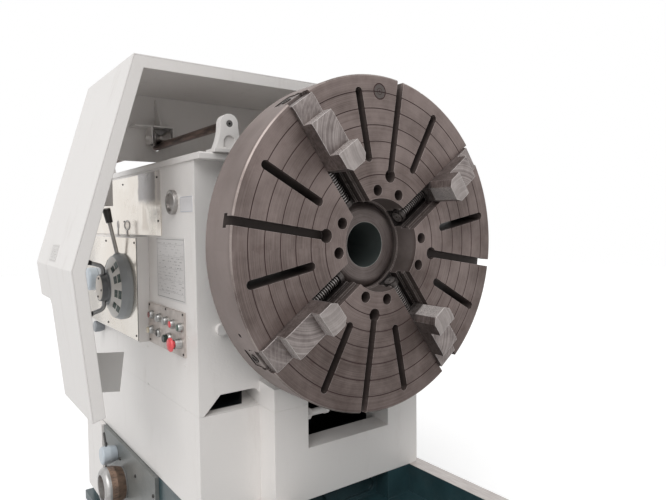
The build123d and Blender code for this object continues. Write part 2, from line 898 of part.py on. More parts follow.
pieces["pedestal"] = pedestal()
pieces["gap_bed"] = gap_bed()
pieces["headstock_base"] = headstock_base()
pieces["bed_head"] = bed_head()
pieces["headstock_body"] = headstock_body()
feet = [headstock_foot(way_front, channel_front), headstock_foot(channel_back, back_face)]
pieces["headstock_feet"] = Compound(children=feet)
pieces["headstock_lid"] = headstock_lid()
pieces["bearing_cap"] = bearing_cap()
pieces["spindle"] = spindle()
pieces["faceplate"] = faceplate()

bearings = []
for number, nose in enumerate(jaw_noses):
    place = spoke(turn_angle + 45 + 90 * number)
    pieces["jaw_" + str(number + 1)] = place * jaw(nose)
    pieces["jaw_screw_" + str(number + 1)] = place * jaw_screw()
    bearings.append(place * screw_seat())
    bearings.append(place * screw_keeper())
pieces["screw_bearings"] = Compound(children=bearings)

pieces["hood_shell"] = hood_shell()
pieces["hood_flange"] = hood_flange()
pieces["hood_end_wall"] = hood_end_wall()
pieces["roller_brackets"] = Compound(children=[roller_bracket(rod_y), roller_bracket(far_rod_y)])
pieces["guard_roller_front"] = roller(rod_y)
pieces["guard_roller_back"] = roller(far_rod_y)
pieces["guard_rods"] = Compound(children=[guard_rod(rod_y), guard_rod(far_rod_y)])
front_pair = [rod_bracket(bracket_front, y, rod_end_radius, rod_end_length) for y in (rod_y, far_rod_y)]
pieces["rod_brackets_front"] = Compound(children=front_pair)
tail_pair = [rod_bracket(rod_tail, y, rod_radius, rod_end_length) for y in (rod_y, far_rod_y)]
pieces["rod_brackets_tail"] = Compound(children=tail_pair)

pieces["gear_cover"] = gear_cover()
pieces["dial_ring"] = dial_ring()
pieces["dial_lever"] = dial_lever()
pieces["selector_hub"] = hub()
pieces["hub_handles"] = Compound(children=[hub_handle(1), hub_handle(-1)])
pieces["cup_knob"] = turned_knob(cup_x, axis_height - cup_drop, cup_radius, cup_length, cover_face)
pieces["low_knob"] = turned_knob(low_knob_x, low_knob_z, low_knob_radius, low_knob_length, front_face)
pieces["front_panel"] = front_panel()
pieces["sight_glass"] = sight_glass()
pieces["button_panel"] = button_panel()
pieces["pilot_lights"] = pilot_lights()
pieces["stop_button"] = press_button(stop_x, stop_inset, stop_radius, stop_collar, stop_thick, stop_travel)
pieces["push_button"] = press_button(push_x, push_inset, push_radius, push_collar, push_thick, push_travel)
pieces["feed_box"] = feed_box()
pieces["feed_knob"] = turned_knob(feed_knob_x, base_top - feed_knob_drop, feed_knob_radius,
                                  feed_knob_length, feed_face)
pieces["feed_drum"] = turned_knob(drum_x, base_top - drum_drop, drum_radius, drum_length,
                                  feed_face, drum_mouth)
pieces["tail_cover"] = tail_cover()

for name, shape in pieces.items():
    export_step(shape, "parts/" + name + ".step")
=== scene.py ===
import json
import math

import bmesh
import bpy
from mathutils import Matrix, Vector


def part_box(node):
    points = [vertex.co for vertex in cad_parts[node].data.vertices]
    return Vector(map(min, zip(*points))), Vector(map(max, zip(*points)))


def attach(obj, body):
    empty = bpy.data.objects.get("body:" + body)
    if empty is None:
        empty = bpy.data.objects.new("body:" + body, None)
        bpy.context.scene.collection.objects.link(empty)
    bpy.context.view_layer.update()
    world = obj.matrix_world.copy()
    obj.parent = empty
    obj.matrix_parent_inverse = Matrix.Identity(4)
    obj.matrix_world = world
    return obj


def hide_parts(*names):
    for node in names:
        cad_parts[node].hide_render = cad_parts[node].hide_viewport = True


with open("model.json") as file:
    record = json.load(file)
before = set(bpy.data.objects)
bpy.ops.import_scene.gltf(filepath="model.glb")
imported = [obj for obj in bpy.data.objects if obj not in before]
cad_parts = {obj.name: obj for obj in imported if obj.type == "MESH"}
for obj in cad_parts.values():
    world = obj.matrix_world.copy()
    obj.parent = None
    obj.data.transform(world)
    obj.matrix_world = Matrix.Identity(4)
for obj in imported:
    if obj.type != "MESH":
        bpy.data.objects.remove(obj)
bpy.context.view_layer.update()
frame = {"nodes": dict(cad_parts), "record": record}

nodes = frame["nodes"]
record = frame["record"]


# Lower base: a heavy iron pedestal and the dropped section of bed in front of the plate, sprayed with dark
# blue-green gloss. Its top edge is planed and left bare, and the pit between the rails catches the chips.

class Signal:
    """A number, colour or vector inside a material; arithmetic on it adds Math nodes."""

    def __init__(self, socket):
        self.socket = socket

    def node(self, kind, values=(), output=0, **settings):
        """Adds a node beside this one: its settings first, then its values and links."""
        tree = self.socket.id_data
        made = tree.nodes.new(kind)
        for key, value in settings.items():
            setattr(made, key, value)
        for key, value in dict(values).items():
            if isinstance(value, Signal):
                tree.links.new(value.socket, made.inputs[key])
            else:
                made.inputs[key].default_value = value
        return Signal(made.outputs[output])

    def maths(self, operation, first, second=0.0):
        return self.node("ShaderNodeMath", {0: first, 1: second}, operation=operation)

    def __add__(self, other):
        return self.maths("ADD", self, other)

    __radd__ = __add__

    def __sub__(self, other):
        return self.maths("SUBTRACT", self, other)

    def __rsub__(self, other):
        return self.maths("SUBTRACT", other, self)

    def __mul__(self, other):
        return self.maths("MULTIPLY", self, other)

    __rmul__ = __mul__

    def __gt__(self, other):
        return self.maths("GREATER_THAN", self, other)

    def __lt__(self, other):
        return self.maths("LESS_THAN", self, other)

    def __pow__(self, other):
        return self.maths("POWER", self, other)

    def __abs__(self):
        return self.maths("ABSOLUTE", self)

    def rise(self, low, high):
        """A soft step from 0 to 1 between two levels."""
        values = {"Value": self, "From Min": low, "From Max": high}
        return self.node("ShaderNodeMapRange", values, interpolation_type="SMOOTHSTEP")

    def blend(self, first, second):
        """A colour between two colours, with this number as the factor."""
        def full(colour):
            return colour if isinstance(colour, Signal) else (*colour, 1)

        values = {0: self, 6: full(first), 7: full(second)}
        return self.node("ShaderNodeMix", values, output=2, data_type="RGBA")

    def noise(self, scale, detail=3.0, roughness=0.5):
        values = {"Vector": self, "Scale": scale, "Detail": detail, "Roughness": roughness}
        return self.node("ShaderNodeTexNoise", values)

    def stretch(self, scale, centre=(0, 0, 0), turn=(0, 0, 0)):
        """Coordinates about a centre, turned and then scaled."""
        moved = self.node("ShaderNodeVectorMath", {0: self, 1: centre}, operation="SUBTRACT")
        return moved.node("ShaderNodeMapping", {"Vector": moved, "Rotation": turn, "Scale": scale})

    def part(self, axis):
        """One of the three numbers of a vector."""
        return self.node("ShaderNodeSeparateXYZ", {0: self}, output=axis)


class Finish:
    """A material with its Object coordinates and one Principled shader."""

    def __init__(self, name, **fixed):
        self.material = bpy.data.materials.new(name)
        self.material.use_nodes = True
        tree = self.material.node_tree
        self.shader = tree.nodes["Principled BSDF"]
        for key, value in fixed.items():
            self.shader.inputs[key.replace("_", " ")].default_value = value
        source = tree.nodes.new("ShaderNodeTexCoord")
        self.place = Signal(source.outputs["Object"])

    def feed(self, **links):
        for key, signal in links.items():
            tree = self.material.node_tree
            tree.links.new(signal.socket, self.shader.inputs[key.replace("_", " ")])

    def relief(self, height, depth, rounding=0.0):
        """Bump from a height of 0 to 1, on edges that are rounded by a small radius."""
        values = {"Height": height, "Distance": depth, "Strength": 1.0}
        if rounding:
            values["Normal"] = height.node("ShaderNodeBevel", {"Radius": rounding}, samples=6)
        self.feed(Normal=height.node("ShaderNodeBump", values))

    def edges(self, radius):
        """A number that rises where two faces meet at an edge."""
        soft = self.place.node("ShaderNodeBevel", {"Radius": radius}, samples=6)
        flat = self.place.node("ShaderNodeNewGeometry", output="True Normal")
        apart = soft.node("ShaderNodeVectorMath", {0: soft, 1: flat}, output="Value",
                          operation="DOT_PRODUCT")
        return (1 - apart).rise(0.01, 0.12)


def coat(finish, *names):
    """Puts a finish on CAD nodes."""
    for name in names:
        for slot in nodes[name].material_slots:
            slot.material = finish.material


rim_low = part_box("gap_bed")[1].z - 0.0006

dark_paint = Finish("dark_paint", Coat_Weight=0.25, Coat_Roughness=0.2)
height = dark_paint.place.part(2)
bare = height.rise(rim_low, rim_low + 0.0002)
streaks = dark_paint.place.stretch((6, 60, 6)).noise(3.0, 5.0, 0.6)
stains = dark_paint.place.noise(5.0, 5.0, 0.65)
dust = dark_paint.place.noise(2.2, 6.0, 0.7).rise(0.45, 0.75)
paint = stains.rise(0.35, 0.7).blend((0.015, 0.038, 0.045), (0.024, 0.061, 0.070))
paint = (dust * 0.3).blend(paint, (0.13, 0.14, 0.135))
metal = streaks.rise(0.3, 0.7).blend((0.52, 0.47, 0.45), (0.66, 0.62, 0.59))
dark_paint.feed(Base_Color=bare.blend(paint, metal), Metallic=bare * 0.35,
                Roughness=0.28 + stains * 0.14 + bare * 0.15)
dark_paint.relief(dark_paint.place.noise(90.0, 2.0) * 0.5 + stains * 0.5, 0.0012, 0.003)
coat(dark_paint, "pedestal", "gap_bed")


# Headstock castings and the guard's sheet: iron filled and rubbed down, bent sheet welded up, and all of it
# sprayed off-white. Inside the well behind the bed's channel and the drain outlet the paint is darkened to
# near-black as painted shade.

def painted(name):
    """Off-white machine paint with faint clouds and smears; gives the finish and its colour."""
    finish = Finish(name, Coat_Weight=0.18, Coat_Roughness=0.25)
    cloud = finish.place.noise(1.6, 4.0, 0.6)
    smear = finish.place.stretch((5, 5, 1.2)).noise(3.0, 6.0, 0.7).rise(0.52, 0.8)
    colour = cloud.blend((0.745, 0.715, 0.69), (0.80, 0.775, 0.755))
    colour = (smear * 0.35).blend(colour, (0.62, 0.58, 0.55))
    finish.feed(Base_Color=colour, Roughness=0.34 + smear * 0.2)
    finish.relief(finish.place.noise(160.0, 2.0) * 0.6 + cloud * 0.4, 0.0007, 0.003)
    return finish, colour


white_paint, colour = painted("white_paint")
coat(white_paint, "headstock_feet", "headstock_lid", "bearing_cap", "hood_shell", "hood_flange",
     "hood_end_wall", "roller_brackets", "rod_brackets_front", "rod_brackets_tail", "tail_cover",
     "gear_cover")

casting_paint, colour = painted("casting_paint")
depth, across, up = (casting_paint.place.part(axis) for axis in range(3))
notch_left, notch_right, notch_top = -0.4575, -0.2705, 0.8075
well_left, well_right, well_top = -0.1505, 0.1845, 0.7505
in_notch = (across > notch_left) * (across < notch_right - 0.047 - (depth + 0.308) * 0.52) * (up < notch_top)
in_notch = in_notch * (1 - depth.rise(-0.309, -0.303)) * (depth > -0.450)
in_well = (across > well_left) * (across < well_right) * (up < well_top)
in_well = in_well * (1 - (depth + (across - well_left) * 0.13).rise(-0.262, -0.2565)) * (depth > -0.615)
# Inside the notch and the well the colour goes near-black: painted shade deep in the recesses.
recess_shade = in_notch.maths("MAXIMUM", in_notch, in_well)
casting_paint.feed(Base_Color=recess_shade.blend(colour, (0.005, 0.006, 0.008)))
coat(casting_paint, "headstock_base", "bed_head", "headstock_body")


# Spindle: a hardened steel tube with a flanged nose, turned and ground. It is dark with old oil, and its
# edges are worn bright.

def rings(place, axis_height, fineness):
    """Fine turned lines: noise that changes fast with the radius and slowly round the circle."""
    across = place.part(1)
    up = place.part(2) - axis_height
    radius = (across * across + up * up) ** 0.5
    angle = up.maths("ARCTAN2", up, across)
    mixed = radius.node("ShaderNodeCombineXYZ", {0: radius * fineness, 1: angle * 0.8, 2: place.part(0) * 9})
    return radius, mixed.noise(1.0, 3.0, 0.6)


axis_height = record["mounts"][1]["pos_m"][2]
spindle_steel = Finish("spindle_steel", Metallic=0.8)
radius, lines = rings(spindle_steel.place, axis_height, 700)
oil = spindle_steel.place.noise(9.0, 5.0, 0.6)
bore = 1 - radius.rise(0.069, 0.0715)
worn = spindle_steel.edges(0.004)
colour = (lines * 0.5 + oil * 0.5).rise(0.3, 0.7).blend((0.085, 0.068, 0.063), (0.22, 0.185, 0.175))
colour = worn.blend(colour, (0.50, 0.46, 0.43))
colour = bore.blend(colour, (0.150, 0.195, 0.190))
spindle_steel.feed(Base_Color=colour, Roughness=0.36 + oil * 0.2 + bore * 0.2)
spindle_steel.relief(lines, 0.0002, 0.002)
coat(spindle_steel, "spindle")


# Faceplate: a disc of cast iron turned on its face and rim, brown with oil and age. Dirt has filled its
# six turned grooves, its slots and its other holes, and clamps have rubbed the edges bright. A flush plug
# closes one hole. The bore is painted darker with depth as shade, and the face is painted lighter towards
# the top as a highlight.

plate_iron = Finish("plate_iron")
radius, lines = rings(plate_iron.place, axis_height, 520)
depth = plate_iron.place.part(0)
groove_radii = (0.210, 0.2585, 0.3075, 0.355, 0.403, 0.4515)
groove_half = 0.0016
groove_gap = abs(radius - groove_radii[0])
for groove_radius in groove_radii[1:]:
    groove_gap = groove_gap.maths("MINIMUM", groove_gap, abs(radius - groove_radius))
on_face = (depth > -0.0025) * (radius < 0.494)
groove = on_face * (1 - groove_gap.rise(groove_half * 0.6, groove_half * 1.1))
far_in = 1 - depth.rise(-0.020, -0.004)
on_rim = radius.rise(0.4985, 0.4995)
in_bore = 1 - radius.rise(0.1405, 0.1412)
rim_edge = (radius > 0.4955) * (depth > -0.0045) * (1 - on_rim)
plug_y, plug_z = -0.0079, axis_height + 0.4529
plug_across = plate_iron.place.part(1) - plug_y
plug_up = plate_iron.place.part(2) - plug_z
plug_radius = (plug_across * plug_across + plug_up * plug_up) ** 0.5
plug_half = 0.0242
plug = (plug_radius < plug_half) * on_face
plug_marks = plug * ((abs(plug_radius - 0.0222) < 0.0019) + (abs(plug_radius - 0.009) < 0.0008)
                     + (plug_radius < 0.003))
patches = plate_iron.place.noise(4.5, 7.0, 0.62)
blots = plate_iron.place.noise(14.0, 6.0, 0.7).rise(0.5, 0.8)
streaks = plate_iron.place.stretch((1, 26, 3), (0, 0, axis_height), (0.7, 0, 0))
scuffs = streaks.noise(6.0, 6.0, 0.75).rise(0.62, 0.82)
worn = plate_iron.edges(0.0022) * groove_gap.rise(0.0022, 0.0045)
# The height term makes the plate lighter towards its top: a painted highlight from the light above.
tone = lines * 0.3 + patches * 0.7 + (plate_iron.place.part(2) - axis_height) * 0.16
colour = tone.rise(0.32, 0.68).blend((0.092, 0.068, 0.061), (0.262, 0.210, 0.195))
colour = (blots * 0.4).blend(colour, (0.105, 0.062, 0.052))
colour = (scuffs * 0.4).blend(colour, (0.36, 0.31, 0.29))
colour = ((1 - radius.rise(0.150, 0.205)) * blots * 0.6).blend(colour, (0.34, 0.29, 0.27))
colour = (on_rim * 0.5).blend(colour, (0.32, 0.27, 0.255))
colour = (plug * 0.85).blend(colour, (0.095, 0.083, 0.078))
wall_tone = patches.rise(0.3, 0.7).blend((0.085, 0.068, 0.062), (0.190, 0.158, 0.148))
# Deep in the bore the colour darkens with depth to near-black: painted shade.
bore_shade = depth.rise(-0.085, -0.030).blend((0.012, 0.010, 0.010), (0.070, 0.055, 0.050))
colour = (far_in * (1 - on_rim) * 0.9).blend(colour, in_bore.blend(bore_shade, wall_tone))
colour = (rim_edge * patches.rise(0.35, 0.6) * 0.5).blend(colour, (0.48, 0.43, 0.40))
colour = (worn * 0.6).blend(colour, (0.50, 0.44, 0.42))
colour = (groove + plug_marks * 0.85).maths("MINIMUM", groove + plug_marks * 0.85, 1.0).blend(
    colour, (0.040, 0.014, 0.013))
plate_iron.feed(Base_Color=colour, Metallic=0.72 - far_in * 0.4 - groove * 0.5,
                Roughness=0.40 + patches * 0.16 + blots * 0.1 + far_in * 0.12)
plate_iron.relief(lines * 0.5 + blots * 0.3, 0.0003, 0.0012)
coat(plate_iron, "faceplate")


# Jaw screws: trapezoidal screws, one in each jaw slot. Each turns with a collar in a thrust seat by the
# bore and ends in a journal with a square socket behind the keeper plate in the rim. The crests are
# rubbed bright.

screw_steel = Finish("screw_steel", Metallic=0.8)
grime = screw_steel.place.noise(40.0, 4.0, 0.6)
worn = screw_steel.edges(0.0012)
colour = grime.rise(0.3, 0.7).blend((0.030, 0.024, 0.022), (0.105, 0.090, 0.085))
colour = (worn * 0.7).blend(colour, (0.38, 0.35, 0.33))
screw_steel.feed(Base_Color=colour, Roughness=0.34 + grime * 0.2)
screw_steel.relief(grime, 0.0002, 0.0008)

bearing_steel = Finish("bearing_steel", Metallic=0.75)
radius, lines = rings(bearing_steel.place, axis_height, 300)
grime = bearing_steel.place.noise(30.0, 5.0, 0.65)
scratches = bearing_steel.place.stretch((8, 60, 60)).noise(3.0, 5.0, 0.7).rise(0.55, 0.75)
keeper = radius.rise(0.44, 0.46)
colour = grime.rise(0.3, 0.7).blend((0.035, 0.030, 0.028), (0.13, 0.115, 0.11))
shine = grime.rise(0.3, 0.7).blend((0.20, 0.16, 0.15), (0.36, 0.315, 0.30))
colour = keeper.blend(colour, (scratches * 0.5).blend(shine, (0.60, 0.56, 0.54)))
colour = (bearing_steel.edges(0.0012) * 0.5).blend(colour, (0.5, 0.46, 0.44))
bearing_steel.feed(Base_Color=colour, Roughness=0.36 + grime * 0.2)
bearing_steel.relief(grime, 0.0003, 0.0008)
coat(bearing_steel, "screw_bearings")

def mottled(name, scale, dark, light, roughness, spread, relief=(0.0001,), detail=4.0, contrast=None,
            **fixed):
    """A finish of one noise, which sets its colour between two, its roughness and its relief."""
    finish = Finish(name, **fixed)
    cloud = finish.place.noise(scale, detail, 0.6)
    tone = cloud.rise(*contrast) if contrast else cloud
    finish.feed(Base_Color=tone.blend(dark, light), Roughness=roughness + cloud * spread)
    finish.relief(cloud, *relief)
    return finish


crest_steel = mottled("crest_steel", 60.0, (0.24, 0.225, 0.22), (0.48, 0.45, 0.44), 0.3, 0.15,
                      (0.0001, 0.0006), contrast=(0.3, 0.7), Metallic=0.85)

plate_turn = math.radians(8.95)
jaw_clocks = [plate_turn + math.radians(45 + 90 * number) for number in range(4)]
thread_pitch = 0.008
thread_crest = 0.018
thread_root = 0.0142
thread_depth_in_plate = -0.062
thread_start = 0.1606
thread_end = 0.474
collar_face, collar_back = 0.143, 0.147
collar_radius = 0.0186
neck_radius = 0.013
journal_radius = 0.014
journal_end = 0.499
socket_half = 0.0085
socket_depth = 0.026


def keep(mesh, name, body, finish, smooth=40.0):
    """Turns a finished bmesh into an object that rides on a body."""
    bmesh.ops.remove_doubles(mesh, verts=mesh.verts, dist=0.00001)
    bmesh.ops.recalc_face_normals(mesh, faces=mesh.faces)
    data = bpy.data.meshes.new(name)
    mesh.to_mesh(data)
    mesh.free()
    piece = bpy.data.objects.new(name, data)
    bpy.context.scene.collection.objects.link(piece)
    data.materials.append(finish.material)
    for face in data.polygons:
        face.use_smooth = True
    data.set_sharp_from_angle(angle=math.radians(smooth))
    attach(piece, body)
    return piece


def turned(mesh, profile, steps=48):
    """Spins a profile of (radius, height) points about Z."""
    points = [mesh.verts.new((radius, 0, height)) for radius, height in profile]
    edges = [mesh.edges.new(pair) for pair in zip(points[:-1], points[1:])]
    bmesh.ops.spin(mesh, geom=points + edges, axis=(0, 0, 1), cent=(0, 0, 0), angle=math.tau, steps=steps,
                   use_merge=True)
    bmesh.ops.remove_doubles(mesh, verts=mesh.verts, dist=0.00001)


def recess(mesh, radius, height, half, sides, depth, steps=24):
    """A flat ring end with a many-sided socket sunk into it."""
    outer = bmesh.ops.create_circle(mesh, segments=steps, radius=radius)["verts"]
    inner = bmesh.ops.create_circle(mesh, segments=steps, radius=radius)["verts"]
    share = math.tau / sides
    for vert in inner:
        angle = math.atan2(vert.co.y, vert.co.x) % share - share / 2
        vert.co *= half / math.cos(angle) / radius
    bmesh.ops.translate(mesh, verts=outer + inner, vec=(0, 0, height))
    both = set(outer + inner)
    bmesh.ops.bridge_loops(mesh, edges=[edge for edge in mesh.edges if set(edge.verts) <= both])
    mouth = [edge for edge in mesh.edges if set(edge.verts) <= set(inner)]
    wall = bmesh.ops.extrude_edge_only(mesh, edges=mouth)["geom"]
    deep = {item for item in wall if isinstance(item, bmesh.types.BMVert)}
    bmesh.ops.translate(mesh, verts=list(deep), vec=(0, 0, -depth))
    floor_edges = [edge for edge in mesh.edges if set(edge.verts) <= deep]
    bmesh.ops.contextual_create(mesh, geom=floor_edges)


def place_on_plate(mesh, clock):
    """Turns a piece that was built along +Z to its clock angle round the spindle axis, seen from +X."""
    mesh.transform(Matrix.Translation((0, 0, axis_height)) @ Matrix.Rotation(-clock, 4, "X"))


for number, clock in enumerate(jaw_clocks, start=1):
    mesh = bmesh.new()
    tooth = [(thread_root, 0.0), (thread_root, 0.0028), (thread_crest, 0.0040), (thread_crest, 0.0062),
             (thread_root, 0.0074), (thread_root, thread_pitch)]
    low = thread_start - thread_pitch
    points = [mesh.verts.new((radius, 0, low + height)) for radius, height in tooth]
    edges = [mesh.edges.new(pair) for pair in zip(points[:-1], points[1:])]
    around = 28
    turns = math.ceil((thread_end - low) / thread_pitch) + 1
    bmesh.ops.spin(mesh, geom=points + edges, axis=(0, 0, 1), cent=(0, 0, 0),
                   dvec=(0, 0, thread_pitch / around), angle=math.tau * turns, steps=around * turns)
    bmesh.ops.remove_doubles(mesh, verts=mesh.verts, dist=0.00002)
    for height, side in ((thread_start, -1), (thread_end, 1)):
        everything = mesh.verts[:] + mesh.edges[:] + mesh.faces[:]
        cut = bmesh.ops.bisect_plane(mesh, geom=everything, plane_co=(0, 0, height), plane_no=(0, 0, side),
                                     clear_outer=True)["geom_cut"]
        rim = [item for item in cut if isinstance(item, bmesh.types.BMEdge)]
        bmesh.ops.contextual_create(mesh, geom=rim)
    for face in mesh.faces:
        reach = min(math.hypot(vert.co.x, vert.co.y) for vert in face.verts)
        face.material_index = int(reach > thread_crest - 0.0004)
    fresh = set(mesh.faces)
    turned(mesh, [(0, collar_face + 0.003), (0.0032, collar_face), (0.0115, collar_face),
                  (0.0119, collar_face + 0.0008), (0.0123, collar_face),
                  (collar_radius - 0.0008, collar_face), (collar_radius, collar_face + 0.0008),
                  (collar_radius, collar_back), (neck_radius, collar_back),
                  (neck_radius, thread_start + 0.001)], 32)
    for face in set(mesh.faces) - fresh:
        face.material_index = int(abs(face.calc_center_median().z - collar_face) < 0.0004)
    turned(mesh, [(0, thread_end - 0.01), (journal_radius, thread_end - 0.01),
                  (journal_radius, journal_end)], 24)
    recess(mesh, journal_radius, journal_end, socket_half, 4, socket_depth)
    bmesh.ops.translate(mesh, verts=mesh.verts, vec=(thread_depth_in_plate, 0, 0))
    place_on_plate(mesh, clock)
    screw = keep(mesh, "jaw_thread_%d" % number, "screw_%d" % number, screw_steel, 30)
    screw.data.materials.append(crest_steel.material)
    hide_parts("jaw_screw_%d" % number)


# Jaws: four blocks of hardened steel with three steps each, milled on top in arcs and ground on the
# sides. The gripping faces are cut with diamond teeth. The jaws lie at their own angles, so each has its
# own scratches.

jaw_noses = (0.264, 0.256, 0.276, 0.273)
jaw_tops = (0.091, 0.051, 0.012)
jaw_ends = (0.060, 0.158)
jaw_half, jaw_nose_half = 0.039, 0.024
top_fall = 0.0032
tooth_pitch = 0.0050
tooth_proud = 0.0017


def diamond_teeth(mesh, across, low, high, along, facing):
    """Rows of small pyramids on a gripping face, which stands square to the jaw's length."""
    wide, tall = 2 * across, high - low
    turn = Matrix.Rotation(0 if facing > 0 else math.pi, 4, "X")
    place = Matrix.Translation(((low + high) / 2, 0, along)) @ turn @ Matrix.Diagonal((tall, wide, 1, 1))
    verts = bmesh.ops.create_grid(mesh, x_segments=max(round(tall / tooth_pitch), 1),
                                  y_segments=max(round(wide / tooth_pitch), 1), size=0.5,
                                  matrix=place)["verts"]
    faces = list({face for vert in verts for face in vert.link_faces})
    rim = [edge for edge in {edge for vert in verts for edge in vert.link_edges} if edge.is_boundary]
    bmesh.ops.poke(mesh, faces=faces, offset=tooth_proud)
    skirt = bmesh.ops.extrude_edge_only(mesh, edges=rim)["geom"]
    deep = [item for item in skirt if isinstance(item, bmesh.types.BMVert)]
    bmesh.ops.translate(mesh, verts=deep, vec=(0, 0, -facing * tooth_proud))
    bmesh.ops.contextual_create(mesh, geom=[edge for edge in mesh.edges if set(edge.verts) <= set(deep)])


for number, (clock, nose) in enumerate(zip(jaw_clocks, jaw_noses), start=1):
    steel = Finish("jaw_steel_%d" % number, Metallic=0.85)
    along = steel.place.stretch((60, 60, 5), (0, 0, axis_height), (clock, 0, 0))
    grain = along.noise(3.0, 5.0, 0.65)
    spots = steel.place.noise(22.0, 5.0, 0.65)
    bands = steel.place.noise(9.0, 3.0, 0.5)
    worn = steel.edges(0.0028)
    depth = steel.place.part(0)
    level = steel.place.stretch((1, 1, 1), (0, 0, axis_height), (clock, 0, 0))
    arc_y = level.part(1) - 0.10
    arc_z = level.part(2) - (nose + 0.02)
    arc = (arc_y * arc_y + arc_z * arc_z) ** 0.5
    ridges = arc.node("ShaderNodeCombineXYZ", {0: arc * 150, 1: bands, 2: 0.0}).noise(1.0, 3.0, 0.6)
    arcs = ridges.rise(0.35, 0.65)
    bright_lines = ridges.rise(0.60, 0.66) * spots.rise(0.40, 0.60)
    top = depth > jaw_tops[0] - top_fall
    for level_height, share in zip(jaw_tops[1:], (1.0, 0.4)):
        top = top + (depth > level_height - top_fall) * (depth < level_height + 0.0002) * share
    colour = (grain * 0.5 + spots * 0.5).rise(0.3, 0.7).blend((0.12, 0.097, 0.092), (0.36, 0.315, 0.30))
    milled = (arcs * 0.35 + spots * 0.65).rise(0.2, 0.8).blend((0.17, 0.143, 0.136), (0.39, 0.345, 0.33))
    milled = (bright_lines * 0.55).blend(milled, (0.62, 0.58, 0.56))
    milled = ((depth > jaw_tops[0] - top_fall) * 0.4).blend(milled, (0.52, 0.48, 0.46))
    colour = (top * 0.8).blend(colour, milled)
    colour = (worn * 0.85).blend(colour, (0.72, 0.68, 0.66))
    steel.feed(Base_Color=colour, Roughness=0.32 + grain * 0.2)
    steel.relief(grain * 0.4 + spots * 0.3 + arcs * 0.3, 0.0005, 0.0012)
    coat(steel, "jaw_%d" % number)
    mesh = bmesh.new()
    diamond_teeth(mesh, jaw_nose_half - 0.001, 0.002, jaw_tops[0] - 0.0002, nose, -1)
    for end, upper, lower in zip(jaw_ends, jaw_tops[:-1], jaw_tops[1:]):
        diamond_teeth(mesh, jaw_half - 0.001, lower, upper - top_fall, nose + end, 1)
    place_on_plate(mesh, clock)
    keep(mesh, "jaw_teeth_%d" % number, "jaw_%d" % number, steel, 20)


# Guide rods: two ground steel bars over the lid, brown with old oil, each held at both ends in a painted
# bracket. The hood hangs on them by two spool rollers that run on turned axles.

rod_steel = Finish("rod_steel", Metallic=0.8)
oil = rod_steel.place.stretch((2, 14, 14)).noise(4.0, 5.0, 0.65)
colour = oil.rise(0.35, 0.7).blend((0.060, 0.038, 0.031), (0.27, 0.185, 0.155))
rod_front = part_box("guard_rods")[1].x
rod_end = rod_steel.place.part(0) > rod_front - 0.0115
colour = rod_end.blend(colour, (0.17, 0.165, 0.16))
rod_z = 1.608
for rod_y in (-0.378, 0.250):
    off_y = rod_steel.place.part(1) - rod_y
    off_z = rod_steel.place.part(2) - rod_z
    centre = (off_y * off_y + off_z * off_z) < 0.0033 ** 2
    colour = (rod_end * centre).blend(colour, (0.01, 0.01, 0.01))
rod_steel.feed(Base_Color=colour, Roughness=0.24 + oil * 0.22)
rod_steel.relief(oil, 0.0003)
coat(rod_steel, "guard_rods")

bright_steel = Finish("bright_steel", Metallic=0.9)
grain = bright_steel.place.noise(70.0, 4.0, 0.6)
tarnish = bright_steel.place.noise(16.0, 4.0, 0.6)
worn = bright_steel.edges(0.001)
colour = tarnish.rise(0.3, 0.75).blend((0.32, 0.30, 0.29), (0.52, 0.50, 0.48))
colour = worn.blend(colour, (0.70, 0.68, 0.66))
bright_steel.feed(Base_Color=colour, Roughness=0.26 + grain * 0.18)
bright_steel.relief(grain, 0.0002, 0.0006)
coat(bright_steel, "guard_roller_front", "guard_roller_back", "dial_lever", "sight_glass")


# Polished panels: two sheets of stainless steel on the operator's side, one under the lid and one on the
# front of the gear cover, both held by small black screws. Rubbing has left them cloudy, and dark
# reflections are painted on the upper one.

polished = Finish("polished_sheet", Metallic=0.9)
cloud = polished.place.noise(2.6, 4.0, 0.6)
rubbed = polished.place.stretch((70, 70, 2.5)).noise(2.0, 4.0, 0.6)
haze = polished.place.noise(9.0, 6.0, 0.75).rise(0.45, 0.8)
across = polished.place.part(0)
up = polished.place.part(2)
# Three dark patches at fixed places on the upper sheet are painted reflections.
fog = polished.place.stretch((6, 6, 14)).noise(2.0, 3.0, 0.6) * 0.03
painted_reflection = (across + fog).rise(-0.765, -0.745) * (1 - (across + fog).rise(-0.590, -0.570))
painted_reflection = painted_reflection * (up + fog).rise(1.398, 1.425)
low_reflection = polished.place.stretch((16, 16, 3.5)).noise(1.6, 2.0, 0.5).rise(0.44, 0.60)
low_reflection = low_reflection * across.rise(-0.80, -0.72) * up.rise(1.285, 1.31) * (1 - up.rise(1.37, 1.41))
end_reflection = across.rise(-0.600, -0.570) * up.rise(1.385, 1.410)
colour = cloud.rise(0.35, 0.7).blend((0.84, 0.775, 0.695), (0.94, 0.895, 0.83))
colour = (haze * 0.35).blend(colour, (0.74, 0.65, 0.55))
colour = (low_reflection * 0.45).blend(colour, (0.46, 0.38, 0.31))
colour = (painted_reflection * 0.80).blend(colour, (0.19, 0.18, 0.19))
colour = (end_reflection * 0.40).blend(colour, (0.42, 0.40, 0.44))
polished.feed(Base_Color=colour, Roughness=0.17 + haze * 0.14 + rubbed * 0.08)
polished.relief(rubbed * 0.7 + cloud * 0.3, 0.0002)
coat(polished, "front_panel")

panel_low, panel_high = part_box("front_panel")
cover_low, cover_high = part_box("gear_cover")
cover_box_low = cover_high.y - 0.040
front_y = panel_high.y
cover_sheet = 0.0015


